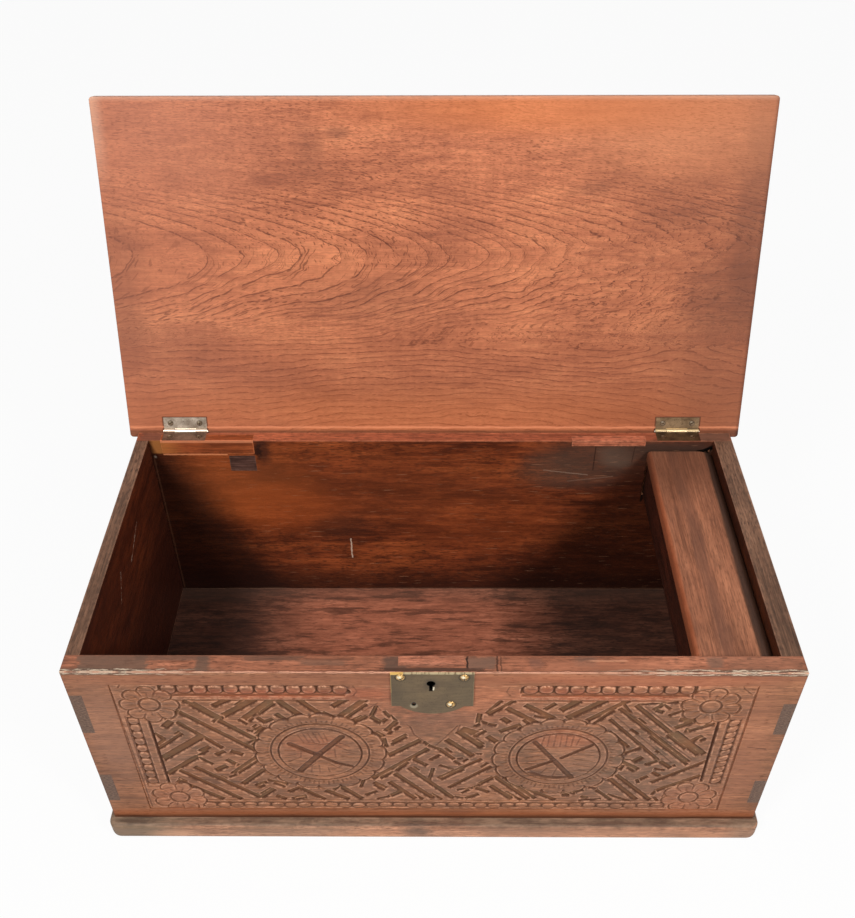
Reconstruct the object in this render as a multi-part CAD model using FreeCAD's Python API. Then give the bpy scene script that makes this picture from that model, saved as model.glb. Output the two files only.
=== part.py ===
import FreeCAD, Part
import math
import os

# Carved blanket chest, standing open. All lengths are in millimetres and angles in degrees.
# +X is to the right, +Y to the back and +Z up. The origin is on the ground, under the middle of the walls.

Vector = FreeCAD.Vector

# Walls, base and floor
case_width = 550.0
case_depth = 274.0
case_height = 226.0
base_thickness = 22.0
front_thickness = 15.5
back_thickness = 12.0
left_thickness = 11.0
right_thickness = 16.5
base_front_overhang = 9.0
base_side_overhang = 5.0
base_corner_radius = 9.0
base_top_round = 4.0
base_bottom_round = 8.0

# Corner joints: tongues on the sides come through the front and back boards
tongue_thickness = 10.0
left_tongue_shares = ((0.132, 0.324), (0.618, 0.858))
right_tongue_shares = ((0.127, 0.294), (0.618, 0.814))

# Lid, hinge line and the lean at which its tail bears on the back board
lid_side_overhang = 9.0
lid_front_overhang = 19.8
lid_thickness = 13.0
lid_tail = 6.2
lid_top_round = 4.0
lid_bottom_round = 1.0
lid_corner_radius = 3.0
open_angle = 108.0
closing_gap = 0.4
stop_gap = 0.3

# Butt hinges
hinge_length = 40.0
hinge_left_inset = 43.5
hinge_right_inset = 48.5
leaf_thickness = 1.4
leaf_margin = 0.5
knuckle_radius = 2.4
middle_knuckle_share = 0.5
pin_radius = 1.2
pin_tip = 0.8
running_gap = 0.3
pin_clearance = 0.05
hinge_screw_inset = 6.5
hinge_screw_length = 10.0
hinge_screw_radius = 1.4
hinge_screw_head_radius = 2.7
hinge_screw_head_depth = 1.2
hinge_screw_y_share = 0.42

# Till: the small box at the right, with its own lid on two pins
till_width = 56.5
till_lid_drop = 10.0
till_lid_thickness = 12.0
till_lid_overhang = 3.5
till_lid_nose = 3.5
till_lid_lower_nose = 1.5
till_lid_front_gap = 1.0
till_lid_rear_gap = 3.0
till_lid_corner_cut = 6.0
till_side_thickness = 6.5
till_bottom_thickness = 8.0
till_height = 46.0
housing_depth = 4.0
housing_slack = 2.0
till_pin_radius = 3.0
till_pin_length = 5.0
till_pin_end_gap = 0.5
till_slot_width = 4.0
till_slot_rise = 5.0

# Repairs let into the back and front boards
left_strip_inset = 22.0
left_strip_length = 86.0
left_strip_height = 15.5
left_strip_depth = 9.0
right_strip_hinge_gap = 10.5
right_strip_length = 68.0
right_strip_height = 6.0
right_strip_depth = 7.0
back_patch_length = 24.5
back_patch_height = 19.0
back_patch_depth = 5.0
back_patch_drop = 18.0
rim_patch_reach = (25.4, 23.6)
rim_patch_width = 9.5
rim_patch_depth = 3.0

# Carved front: a sunk panel, with the plain ground and the bars left high and the discs a little lower
carve_depth = 2.6
plain_drop = 0.6
disc_drop = 1.8
panel_side_margin = 32.5
panel_bottom_margin = 13.5
panel_top_margin = 15.5
rosette_radius = 19.0
roundel_radius = 48.5
top_bar_drops = (14.5, 18.0)
side_bar_insets = (17.0, 20.2)

# Places on the panel as shares of its half width, from the middle, and of its height, from the bottom
rosette_shares = ((-0.891, 0.852), (0.87, 0.846), (-0.883, 0.101), (0.885, 0.11))
roundel_shares = ((-0.374, 0.484), (0.414, 0.448))
pendant_shares = ((0.19, 0.871), (0.05, 0.683), (0, 0.597), (-0.05, 0.683), (-0.19, 0.871))
top_bar_shares = ((-0.812, -0.268), (0.272, 0.788))
side_bar_shares = (0.243, 0.711)

# Lock
lock_x = -0.6
plate_half_width = 31.0
plate_side_height = 40.0
plate_height = 49.6
plate_step = 6.8
plate_thickness = 1.5
plate_let_in = 0.5
keyhole_offset = -1.0
keyhole_drop = 12.0
keyhole_radius = 3.1
keyhole_slot_width = 2.4
keyhole_slot_drop = 21.0
upper_screw_half_gap = 23.6
upper_screw_drop = 4.6
lower_screw_half_gap = 14.0
lower_screw_drop = 37.8
lock_screw_radius = 1.4
lock_screw_length = 9.0
lock_screw_head_radius = 3.5
lock_screw_head_height = 1.8
mortise_half_width = 20.0
mortise_roof = 0.5
mortise_bottom_drop = 34.0
lock_case_depth = 10.0
lock_case_wall = 1.2
lock_fit = 0.2
bolt_left = -17.0
bolt_height = 3.6
bolt_thickness = 3.0
bolt_leg_width = 4.0
bolt_leg_drop = 15.5
bolt_travel = 6.0
spring_thickness = 0.6
spring_reach = 9.0
spring_rise = 6.5
post_x = 11.0
post_width = 4.0
post_height = 3.0

# Nails that hold the base to the walls
nail_radius = 1.3
nail_length = 42.0
nail_head_radius = 2.6
nail_head_height = 1.0
nail_sink = 0.5
nail_width_shares = (-0.4, -0.14, 0.14, 0.4)
nail_depth_shares = (-0.25, 0.25)
fastener_clearance = 0.05

overrun = 5.0

# Places that follow from the sizes above
left_face = -case_width / 2
right_face = case_width / 2
front_face = -case_depth / 2
back_face = case_depth / 2
left_inner = left_face + left_thickness
right_inner = right_face - right_thickness
front_inner = front_face + front_thickness
back_inner = back_face - back_thickness
rim = case_height
floor_top = base_thickness
wall_height = rim - floor_top
hinge_left_x = left_face + hinge_left_inset
hinge_right_x = right_face - hinge_right_inset

lean = math.radians(open_angle - 90)
hinge_setback = lid_tail * math.sin(lean) + stop_gap - closing_gap / 2 * math.cos(lean)
hinge_y = back_face + hinge_setback
hinge_z = rim + closing_gap / 2
hinge_point = Vector(0, hinge_y, hinge_z)
lid_underside = rim + closing_gap
lid_rear = hinge_y + lid_tail
lid_front = front_face - lid_front_overhang
lid_half_width = case_width / 2 + lid_side_overhang
leaf_front = back_inner + leaf_margin

till_left = right_inner - till_width
till_lid_top = rim - till_lid_drop
till_lid_bottom = till_lid_top - till_lid_thickness
till_floor = till_lid_bottom - till_height
till_pivot_x = right_inner - till_lid_thickness / 2 - running_gap
till_pivot_z = till_lid_top - till_lid_thickness / 2

left_strip_left = left_face + left_strip_inset
left_strip_right = left_strip_left + left_strip_length
right_strip_right = hinge_right_x - hinge_length / 2 - right_strip_hinge_gap

panel_half_width = case_width / 2 - panel_side_margin
panel_bottom = floor_top + panel_bottom_margin
panel_top = rim - panel_top_margin

keyhole_x = lock_x + keyhole_offset
plate_front = front_face + plate_let_in - plate_thickness
plate_back = front_face + plate_let_in
mortise_top_drop = rim_patch_depth + mortise_roof


# Shapes used more than once
def block(x_low, x_high, y_low, y_high, z_low, z_high):
    corner = Vector(x_low, y_low, z_low)
    return Part.makeBox(x_high - x_low, y_high - y_low, z_high - z_low, corner)


def rod(radius, start, end):
    return Part.makeCylinder(radius, (end - start).Length, start, end - start)


def prism(points, direction):
    face = Part.Face(Part.makePolygon(points + points[:1]))
    return face.extrude(direction)


def fused(shapes):
    shape = shapes[0]
    for other in shapes[1:]:
        shape = shape.fuse(other)
    return shape.removeSplitter()


def rounded(shape, radius, wanted):
    edges = [edge for edge in shape.Edges if wanted(edge.BoundBox)]
    return shape.makeFillet(radius, edges)


def save(name, shape):
    shape.exportStep(f"parts/{name}.step")


# Turns a piece of the lid from closed, as it is drawn, to open
def opened(shape):
    turned = shape.copy()
    turned.rotate(hinge_point, Vector(1, 0, 0), -open_angle)
    return turned


def span_at(shares):
    return floor_top + shares[0] * wall_height, floor_top + shares[1] * wall_height


# Nail places: x and y of each nail, on the middle of the wall that it goes up into
def nail_places():
    front_y = (front_face + front_inner) / 2
    back_y = (back_face + back_inner) / 2
    left_x = (left_face + left_inner) / 2
    right_x = (right_face + right_inner) / 2
    places = [(share * case_width, y) for share in nail_width_shares for y in (front_y, back_y)]
    return places + [(x, share * case_depth) for share in nail_depth_shares for x in (left_x, right_x)]


def nail(x, y, clearance):
    head_low = 0 if clearance else nail_sink
    head_high = nail_sink + nail_head_height
    head = rod(nail_head_radius + clearance, Vector(x, y, head_low), Vector(x, y, head_high))
    shank = rod(nail_radius + clearance, Vector(x, y, head_low), Vector(x, y, nail_length))
    return fused([head, shank])


def nail_holes():
    return Part.makeCompound([nail(x, y, fastener_clearance) for x, y in nail_places()])


# Base: one thick board with a rounded edge on the front and both sides
def base_board():
    left = left_face - base_side_overhang
    right = right_face + base_side_overhang
    front = front_face - base_front_overhang
    board = block(left, right, front, back_face, 0, base_thickness)

    def at_front_corner(box):
        return box.ZLength > base_thickness / 2 and box.YMax < 0

    def on_edge(height):
        def test(box):
            flat = box.ZLength < base_thickness / 4 and abs(box.ZMin - height) < base_thickness / 4
            return flat and box.YMin < back_face - base_corner_radius
        return test

    board = rounded(board, base_corner_radius, at_front_corner)
    board = rounded(board, base_top_round, on_edge(base_thickness))
    board = rounded(board, base_bottom_round, on_edge(0))
    return board.cut(nail_holes())


# Side board with two tongues at each end
def side_board(outer, inner, tongue_shares):
    toward_inside = 1 if inner > outer else -1
    tongue_inner = outer + toward_inside * tongue_thickness
    board = block(min(outer, inner), max(outer, inner), front_inner, back_inner, floor_top, rim)
    for shares in tongue_shares:
        low, high = span_at(shares)
        sides = min(outer, tongue_inner), max(outer, tongue_inner)
        board = board.fuse(block(*sides, front_face, back_face, low, high))
    return board.removeSplitter().cut(nail_holes())


# What the sides' tongues take out of the front and back boards
def tongue_notches(y_low, y_high):
    notches = []
    for shares in left_tongue_shares:
        low, high = span_at(shares)
        x_high = left_face + tongue_thickness
        notches.append(block(left_face - overrun, x_high, y_low, y_high, low, high))
    for shares in right_tongue_shares:
        low, high = span_at(shares)
        x_low = right_face - tongue_thickness
        notches.append(block(x_low, right_face + overrun, y_low, y_high, low, high))
    return notches


# Housings for the till's side and bottom, from y_low to y_high
def till_housings(y_low, y_high):
    side_right = till_left + till_side_thickness
    side = block(till_left, side_right, y_low, y_high, till_floor, till_lid_bottom)
    bottom_top = till_floor + till_bottom_thickness
    bottom = block(side_right, right_inner, y_low, y_high, till_floor, bottom_top)
    return [side, bottom]


def till_pin_hole(y_low, y_high):
    radius = till_pin_radius + pin_clearance
    return rod(radius, Vector(till_pivot_x, y_low, till_pivot_z), Vector(till_pivot_x, y_high, till_pivot_z))


def lock_plate_outline(depth_low, depth_high):
    left = lock_x - plate_half_width
    right = lock_x + plate_half_width
    side_bottom = rim - plate_side_height
    tip = rim - plate_height
    top_left = Vector(left, depth_low, rim)
    top_right = Vector(right, depth_low, rim)
    low_right = Vector(right, depth_low, side_bottom)
    step_right = Vector(right - plate_step, depth_low, side_bottom)
    step_left = Vector(left + plate_step, depth_low, side_bottom)
    low_left = Vector(left, depth_low, side_bottom)
    edges = [
        Part.makeLine(top_left, top_right),
        Part.makeLine(top_right, low_right),
        Part.makeLine(low_right, step_right),
        Part.Arc(step_right, Vector(lock_x, depth_low, tip), step_left).toShape(),
        Part.makeLine(step_left, low_left),
        Part.makeLine(low_left, top_left),
    ]
    return Part.Face(Part.Wire(edges)).extrude(Vector(0, depth_high - depth_low, 0))


def keyhole(depth_low, depth_high):
    centre_z = rim - keyhole_drop
    start = Vector(keyhole_x, depth_low, centre_z)
    round_part = rod(keyhole_radius, start, Vector(keyhole_x, depth_high, centre_z))
    half = keyhole_slot_width / 2
    slot = block(keyhole_x - half, keyhole_x + half, depth_low, depth_high, rim - keyhole_slot_drop, centre_z)
    return round_part.fuse(slot)


def lock_screw_places():
    upper = rim - upper_screw_drop
    lower = rim - lower_screw_drop
    return [
        (lock_x - upper_screw_half_gap, upper),
        (lock_x + upper_screw_half_gap, upper),
        (lock_x + lower_screw_half_gap, lower),
        (lock_x - lower_screw_half_gap, lower),
    ]


def lock_screw_hole(x, z):
    start = Vector(x, plate_front - overrun, z)
    end = Vector(x, plate_front + lock_screw_length, z)
    return rod(lock_screw_radius + fastener_clearance, start, end)


def panel_place(x_share, z_share):
    return x_share * panel_half_width, panel_bottom + z_share * (panel_top - panel_bottom)


# What the carver left high: the plain ground under the lock and the bars beside the rows of beads
def plain_forms(y_low, y_high):
    outline = [panel_place(*shares) for shares in pendant_shares]
    left, right = outline[-1][0], outline[0][0]
    outline += [(left, panel_top + overrun), (right, panel_top + overrun)]
    points = [Vector(x, y_low, z) for x, z in outline]
    forms = [prism(points, Vector(0, y_high - y_low, 0))]
    high, low = (panel_top - drop for drop in top_bar_drops)
    for start, end in top_bar_shares:
        forms.append(block(start * panel_half_width, end * panel_half_width, y_low, y_high, low, high))
    far, near = (panel_half_width - inset for inset in side_bar_insets)
    low, high = (panel_place(0, share)[1] for share in side_bar_shares)
    forms.append(block(-far, -near, y_low, y_high, low, high))
    forms.append(block(near, far, y_low, y_high, low, high))
    return forms


def discs(y_low, y_high):
    places = [(rosette_radius, *panel_place(*shares)) for shares in rosette_shares]
    places += [(roundel_radius, *panel_place(*shares)) for shares in roundel_shares]
    return [rod(radius, Vector(x, y_low, z), Vector(x, y_high, z)) for radius, x, z in places]


def sunk_panel():
    ground = front_face + carve_depth
    low = front_face - overrun
    panel = block(-panel_half_width, panel_half_width, low, ground, panel_bottom, panel_top)
    forms = plain_forms(front_face + plain_drop, ground + overrun)
    forms += discs(front_face + disc_drop, ground + overrun)
    for form in forms:
        panel = panel.cut(form)
    return panel


def front_board():
    board = block(left_face, right_face, front_face, front_inner, floor_top, rim)
    cuts = tongue_notches(front_face - overrun, front_inner + overrun)
    cuts += till_housings(front_inner - housing_depth, front_inner + overrun)
    pin_end = front_inner - till_pin_length - till_pin_end_gap + till_lid_front_gap
    cuts.append(till_pin_hole(pin_end, front_inner + overrun))
    cuts.append(lock_plate_outline(front_face - overrun, plate_back))
    mortise_left = lock_x - mortise_half_width
    mortise_right = lock_x + mortise_half_width
    mortise_back = plate_back + lock_case_depth + lock_fit
    mortise_low = rim - mortise_bottom_drop
    mortise_high = rim - mortise_top_drop
    cuts.append(block(mortise_left, mortise_right, front_face, mortise_back, mortise_low, mortise_high))
    cuts += [lock_screw_hole(x, z) for x, z in lock_screw_places()]
    cuts.append(rim_patch_block(overrun))
    cuts += [sunk_panel(), nail_holes()]
    for cut in cuts:
        board = board.cut(cut)
    return board


# Patch in the rim above the lock; above and inside, the cut for it runs past by extra
def rim_patch_block(extra):
    y_low = front_inner - rim_patch_width
    left, right = lock_x - rim_patch_reach[0], lock_x + rim_patch_reach[1]
    return block(left, right, y_low, front_inner + extra, rim - rim_patch_depth, rim + extra)


# Repairs in the back board; each cut for them runs past by extra on its open sides
def left_strip(extra):
    y_high = back_inner + left_strip_depth
    z_low = rim - left_strip_height
    return block(left_strip_left, left_strip_right, back_inner - extra, y_high, z_low, rim + extra)


def right_strip(extra):
    y_high = back_inner + right_strip_depth
    x_low = right_strip_right - right_strip_length
    z_low = rim - right_strip_height
    return block(x_low, right_strip_right, back_inner - extra, y_high, z_low, rim + extra)


def back_patch(extra):
    z_high = rim - back_patch_drop
    y_high = back_inner + back_patch_depth
    x_low = left_strip_right - back_patch_length
    return block(x_low, left_strip_right, back_inner - extra, y_high, z_high - back_patch_height, z_high)


def back_board():
    board = block(left_face, right_face, back_inner, back_face, floor_top, rim)
    cuts = tongue_notches(back_inner - overrun, back_face + overrun)
    groove_back = back_inner + housing_depth
    cuts += till_housings(back_inner - overrun, groove_back)
    slack_left = till_left - housing_slack
    slack = block(slack_left, till_left, back_inner - overrun, groove_back, till_floor, till_lid_bottom)
    cuts.append(slack)
    pin_end = back_inner + till_pin_length + till_pin_end_gap - till_lid_rear_gap
    cuts.append(till_pin_hole(back_inner - overrun, pin_end))
    half = till_slot_width / 2
    slot_points = [
        Vector(till_pivot_x - half, back_inner - overrun, till_pivot_z),
        Vector(till_pivot_x + half, back_inner - overrun, till_pivot_z),
        Vector(right_inner, back_inner - overrun, till_lid_top),
        Vector(right_inner, back_inner - overrun, till_lid_top + half),
        Vector(till_pivot_x, back_inner - overrun, till_pivot_z + till_slot_rise),
    ]
    cuts.append(prism(slot_points, Vector(0, pin_end - back_inner + overrun, 0)))
    cuts += [left_strip(overrun), right_strip(overrun), back_patch(overrun)]
    for x in (hinge_left_x, hinge_right_x):
        cuts.append(leaf_recess(x, rim - leaf_thickness, rim + overrun, back_face + overrun))
        cuts += [case_screw(x + side, fastener_clearance) for side in screw_sides()]
    cuts.append(nail_holes())
    for cut in cuts:
        board = board.cut(cut)
    return board


def left_strip_solid():
    strip = left_strip(0)
    strip = strip.cut(leaf_recess(hinge_left_x, rim - leaf_thickness, rim + overrun, back_face + overrun))
    for side in screw_sides():
        strip = strip.cut(case_screw(hinge_left_x + side, fastener_clearance))
    return strip


# Till
def till_side():
    y_low = front_inner - housing_depth
    y_high = back_inner + housing_depth
    return till_housings(y_low, y_high)[0]


def till_bottom():
    y_low = front_inner - housing_depth
    y_high = back_inner + housing_depth
    return till_housings(y_low, y_high)[1]


def till_lid():
    left = till_left - till_lid_overhang
    y_low = front_inner + till_lid_front_gap
    y_high = back_inner - till_lid_rear_gap
    board = block(left, till_pivot_x, y_low, y_high, till_lid_bottom, till_lid_top)

    def at_nose(height):
        def test(box):
            along = box.YLength > till_lid_thickness
            return along and abs(box.ZMin - height) < running_gap and box.XMax < till_left
        return test

    board = rounded(board, till_lid_nose, at_nose(till_lid_top))
    board = rounded(board, till_lid_lower_nose, at_nose(till_lid_bottom))
    start = Vector(till_pivot_x, y_low, till_pivot_z)
    end = Vector(till_pivot_x, y_high, till_pivot_z)
    board = board.fuse(rod(till_lid_thickness / 2, start, end))
    corner_x = till_pivot_x - till_lid_thickness / 2
    right = till_pivot_x + till_lid_thickness
    cut_points = [
        Vector(corner_x, y_high + overrun, till_lid_bottom - overrun),
        Vector(corner_x, y_high, till_lid_bottom - overrun),
        Vector(right, y_high - till_lid_corner_cut, till_lid_bottom - overrun),
        Vector(right, y_high + overrun, till_lid_bottom - overrun),
    ]
    board = board.cut(prism(cut_points, Vector(0, 0, till_lid_thickness + overrun + overrun)))
    front_pin_end = Vector(till_pivot_x, y_low - till_pin_length, till_pivot_z)
    rear_pin_start = Vector(till_pivot_x, y_high - till_lid_corner_cut, till_pivot_z)
    rear_pin_end = Vector(till_pivot_x, y_high + till_pin_length, till_pivot_z)
    board = board.fuse(rod(till_pin_radius, front_pin_end, start))
    return board.fuse(rod(till_pin_radius, rear_pin_start, rear_pin_end)).removeSplitter()


# Hinges
def screw_sides():
    side = hinge_length / 2 - hinge_screw_inset
    return (-side, side)


def leaf_recess(x, z_low, z_high, y_high):
    half = hinge_length / 2
    return block(x - half, x + half, leaf_front, y_high, z_low, z_high)


# One flat-headed screw along Z from its head's face; up is 1 for the lid's screws and -1 for the case's
def hinge_screw(x, face_z, up, clearance):
    y = leaf_front + hinge_screw_y_share * (hinge_y - leaf_front)
    head_end = face_z + up * hinge_screw_head_depth
    face = Vector(x, y, face_z)
    direction = Vector(0, 0, up)
    head_radius = hinge_screw_head_radius + clearance
    shank_radius = hinge_screw_radius + clearance
    head = Part.makeCone(head_radius, shank_radius, hinge_screw_head_depth, face, direction)
    shank = rod(shank_radius, Vector(x, y, head_end), Vector(x, y, face_z + up * hinge_screw_length))
    return head.fuse(shank).removeSplitter()


def case_screw(x, clearance):
    return hinge_screw(x, rim, -1, clearance)


def lid_screw(x, clearance):
    return hinge_screw(x, lid_underside, 1, clearance)


# One knuckle of a hinge, or the room that it needs, between two shares of the hinge's length
def knuckle(x, radius, start_share, end_share):
    low = x - hinge_length / 2
    start = Vector(low + start_share * hinge_length, hinge_y, hinge_z)
    end = Vector(low + end_share * hinge_length, hinge_y, hinge_z)
    return rod(radius, start, end)


def knuckle_shares():
    edge = (1 - middle_knuckle_share) / 2
    return [(0, edge), (1 - edge, 1)], [(edge, 1 - edge)]


def leaf(x, z_low, z_high, own_shares, other_shares, screws):
    plate = leaf_recess(x, z_low, z_high, hinge_y)
    for shares in own_shares:
        plate = plate.fuse(knuckle(x, knuckle_radius, *shares))
    gap_share = running_gap / 2 / hinge_length
    for low, high in other_shares:
        room = knuckle(x, knuckle_radius + running_gap, low - gap_share, high + gap_share)
        plate = plate.cut(room)
    plate = plate.cut(knuckle(x, pin_radius + pin_clearance, -1, 2))
    for screw in screws:
        plate = plate.cut(screw)
    return plate.removeSplitter()


def case_leaf(x):
    outer, middle = knuckle_shares()
    screws = [case_screw(x + side, fastener_clearance) for side in screw_sides()]
    return leaf(x, rim - leaf_thickness, rim, outer, middle, screws)


def lid_leaf(x):
    outer, middle = knuckle_shares()
    screws = [lid_screw(x + side, fastener_clearance) for side in screw_sides()]
    return leaf(x, lid_underside, lid_underside + leaf_thickness, middle, outer, screws)


def hinge_pin(x):
    half = hinge_length / 2 + pin_tip
    return rod(pin_radius, Vector(x - half, hinge_y, hinge_z), Vector(x + half, hinge_y, hinge_z))


def lid_board():
    top = lid_underside + lid_thickness
    board = block(-lid_half_width, lid_half_width, lid_front, lid_rear, lid_underside, top)
    board = rounded(board, lid_corner_radius, lambda box: box.ZLength > lid_thickness / 2)

    def level(height):
        return lambda box: box.ZLength < running_gap and abs(box.ZMin - height) < running_gap

    board = rounded(board, lid_top_round, level(top))
    board = rounded(board, lid_bottom_round, level(lid_underside))
    room = knuckle_radius + running_gap
    reach = hinge_length / 2 + pin_tip + running_gap
    for x in (hinge_left_x, hinge_right_x):
        start = Vector(x - reach, hinge_y, hinge_z)
        board = board.cut(rod(room, start, Vector(x + reach, hinge_y, hinge_z)))
        board = board.cut(leaf_recess(x, lid_underside - overrun, lid_underside + leaf_thickness, hinge_y))
        for side in screw_sides():
            board = board.cut(lid_screw(x + side, fastener_clearance))
    return board


# Lock
def lock_plate():
    plate = lock_plate_outline(plate_front, plate_back)
    plate = plate.cut(keyhole(plate_front - overrun, plate_back + overrun))
    for x, z in lock_screw_places():
        plate = plate.cut(lock_screw_hole(x, z))
    return plate


def lock_screw(x, z):
    base = Vector(x, plate_front, z)
    sphere_radius = (lock_screw_head_radius ** 2 + lock_screw_head_height ** 2) / (2 * lock_screw_head_height)
    centre = Vector(x, plate_front - lock_screw_head_height + sphere_radius, z)
    ball = Part.makeSphere(sphere_radius, centre)
    head = ball.common(rod(lock_screw_head_radius, base - Vector(0, overrun, 0), base))
    shank = rod(lock_screw_radius, base, Vector(x, plate_front + lock_screw_length, z))
    return head.fuse(shank).removeSplitter()


def lock_case_bounds(inset):
    return (
        lock_x - mortise_half_width + lock_fit + inset,
        lock_x + mortise_half_width - lock_fit - inset,
        rim - mortise_bottom_drop + lock_fit + inset,
        rim - mortise_top_drop - lock_fit - inset,
    )


def lock_case():
    back = plate_back + lock_case_depth
    x_low, x_high, z_low, z_high = lock_case_bounds(0)
    shell = block(x_low, x_high, plate_back, back, z_low, z_high)
    x_low, x_high, z_low, z_high = lock_case_bounds(lock_case_wall)
    shell = shell.cut(block(x_low, x_high, plate_back - overrun, back - lock_case_wall, z_low, z_high))
    post_low = bolt_bottom() - running_gap - spring_rise - spring_thickness - post_height
    post_left = lock_x + post_x
    post_front = back - lock_case_wall - bolt_thickness
    post = block(post_left, post_left + post_width, post_front, back, post_low, post_low + post_height)
    return shell.fuse(post).removeSplitter()


def bolt_top():
    return lock_case_bounds(lock_case_wall)[3] - lock_fit


def bolt_bottom():
    return bolt_top() - bolt_height


# The bolt is drawn back; its travel ends just short of the lock case's right wall
def lock_bolt():
    left = lock_x + bolt_left
    back = plate_back + lock_case_depth - lock_case_wall - lock_fit
    front = back - bolt_thickness
    right = lock_case_bounds(lock_case_wall)[1] - lock_fit - bolt_travel
    bar = block(left, right, front, back, bolt_bottom(), bolt_top())
    leg = block(left, left + bolt_leg_width, front, back, bolt_bottom() - bolt_leg_drop, bolt_top())
    return bar.fuse(leg).removeSplitter()


# A bent strip: flat on its post, then rising to just under the bolt
def lock_spring():
    back = plate_back + lock_case_depth - lock_case_wall
    front = back - bolt_thickness
    tip_z = bolt_bottom() - running_gap
    foot_z = tip_z - spring_rise
    foot_left = lock_x + post_x
    foot_right = foot_left + post_width
    tip_x = foot_left - spring_reach
    outline = [
        (foot_right, foot_z),
        (foot_left, foot_z),
        (tip_x, tip_z),
        (tip_x, tip_z - spring_thickness),
        (foot_left, foot_z - spring_thickness),
        (foot_right, foot_z - spring_thickness),
    ]
    points = [Vector(x, front, z) for x, z in outline]
    return prism(points, Vector(0, back - front, 0))


os.makedirs("parts", exist_ok=True)

save("base_board", base_board())
save("front_board", front_board())
save("back_board", back_board())
save("left_side", side_board(left_face, left_inner, left_tongue_shares))
save("right_side", side_board(right_face, right_inner, right_tongue_shares))
save("base_nails", Part.makeCompound([nail(x, y, 0) for x, y in nail_places()]))
save("repair_strip_left", left_strip_solid())
save("repair_strip_right", right_strip(0))
save("back_patch", back_patch(0))
save("rim_patch", rim_patch_block(0))
save("till_side", till_side())
save("till_bottom", till_bottom())
save("till_lid", till_lid())
save("lid_board", opened(lid_board()))

for side_name, hinge_x in (("left", hinge_left_x), ("right", hinge_right_x)):
    save(f"hinge_{side_name}_case_leaf", case_leaf(hinge_x))
    save(f"hinge_{side_name}_lid_leaf", opened(lid_leaf(hinge_x)))
    save(f"hinge_{side_name}_pin", hinge_pin(hinge_x))

screw_xs = [x + side for x in (hinge_left_x, hinge_right_x) for side in screw_sides()]
save("hinge_case_screws", Part.makeCompound([case_screw(x, 0) for x in screw_xs]))
save("hinge_lid_screws", opened(Part.makeCompound([lid_screw(x, 0) for x in screw_xs])))

save("lock_plate", lock_plate())
save("lock_case", lock_case())
save("lock_bolt", lock_bolt())
save("lock_spring", lock_spring())
save("lock_screws", Part.makeCompound([lock_screw(x, z) for x, z in lock_screw_places()[:3]]))

print("hinge axis", round(hinge_y, 4), round(hinge_z, 4))
print("till lid axis", round(till_pivot_x, 4), round(till_pivot_z, 4))
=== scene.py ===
import math

import bmesh
import bpy
import numpy as np
from mathutils import Matrix, Vector


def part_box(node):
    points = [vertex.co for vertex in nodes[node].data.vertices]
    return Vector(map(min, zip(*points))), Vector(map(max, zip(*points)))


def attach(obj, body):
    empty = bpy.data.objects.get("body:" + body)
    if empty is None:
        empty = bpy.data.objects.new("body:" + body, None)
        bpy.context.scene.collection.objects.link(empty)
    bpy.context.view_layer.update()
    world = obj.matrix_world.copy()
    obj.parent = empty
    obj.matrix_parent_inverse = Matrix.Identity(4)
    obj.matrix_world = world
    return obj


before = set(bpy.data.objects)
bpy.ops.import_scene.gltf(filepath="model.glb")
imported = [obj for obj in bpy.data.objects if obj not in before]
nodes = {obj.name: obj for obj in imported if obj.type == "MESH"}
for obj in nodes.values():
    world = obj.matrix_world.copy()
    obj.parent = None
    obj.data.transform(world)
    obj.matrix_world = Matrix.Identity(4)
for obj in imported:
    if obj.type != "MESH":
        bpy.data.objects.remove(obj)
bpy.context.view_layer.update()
mm = 0.001
print("frame loaded:", len(nodes), "nodes")

scene = bpy.context.scene
scene.view_settings.view_transform = "Standard"


# shader maths

class Signal:
    def __init__(self, finish, socket):
        self.finish = finish
        self.socket = socket

    def calc(self, operation, *others):
        return self.finish.math(operation, self, *others)

    def __add__(self, other):
        return self.finish.math("ADD", self, other)

    def __radd__(self, other):
        return self.finish.math("ADD", other, self)

    def __sub__(self, other):
        return self.finish.math("SUBTRACT", self, other)

    def __rsub__(self, other):
        return self.finish.math("SUBTRACT", other, self)

    def __mul__(self, other):
        return self.finish.math("MULTIPLY", self, other)

    def __rmul__(self, other):
        return self.finish.math("MULTIPLY", other, self)

    def __truediv__(self, other):
        return self.finish.math("DIVIDE", self, other)

    def __abs__(self):
        return self.finish.math("ABSOLUTE", self)


def linear(colour):  # 0..255 as seen on a screen, to the renderer's own scale
    shares = [value / 255 for value in colour]
    return tuple(s / 12.92 if s < 0.04045 else ((s + 0.055) / 1.055) ** 2.4 for s in shares) + (1.0,)


def socketValue(value):  # three numbers are a colour as seen on a screen
    return linear(value) if isinstance(value, tuple) and len(value) == 3 else value


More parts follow.
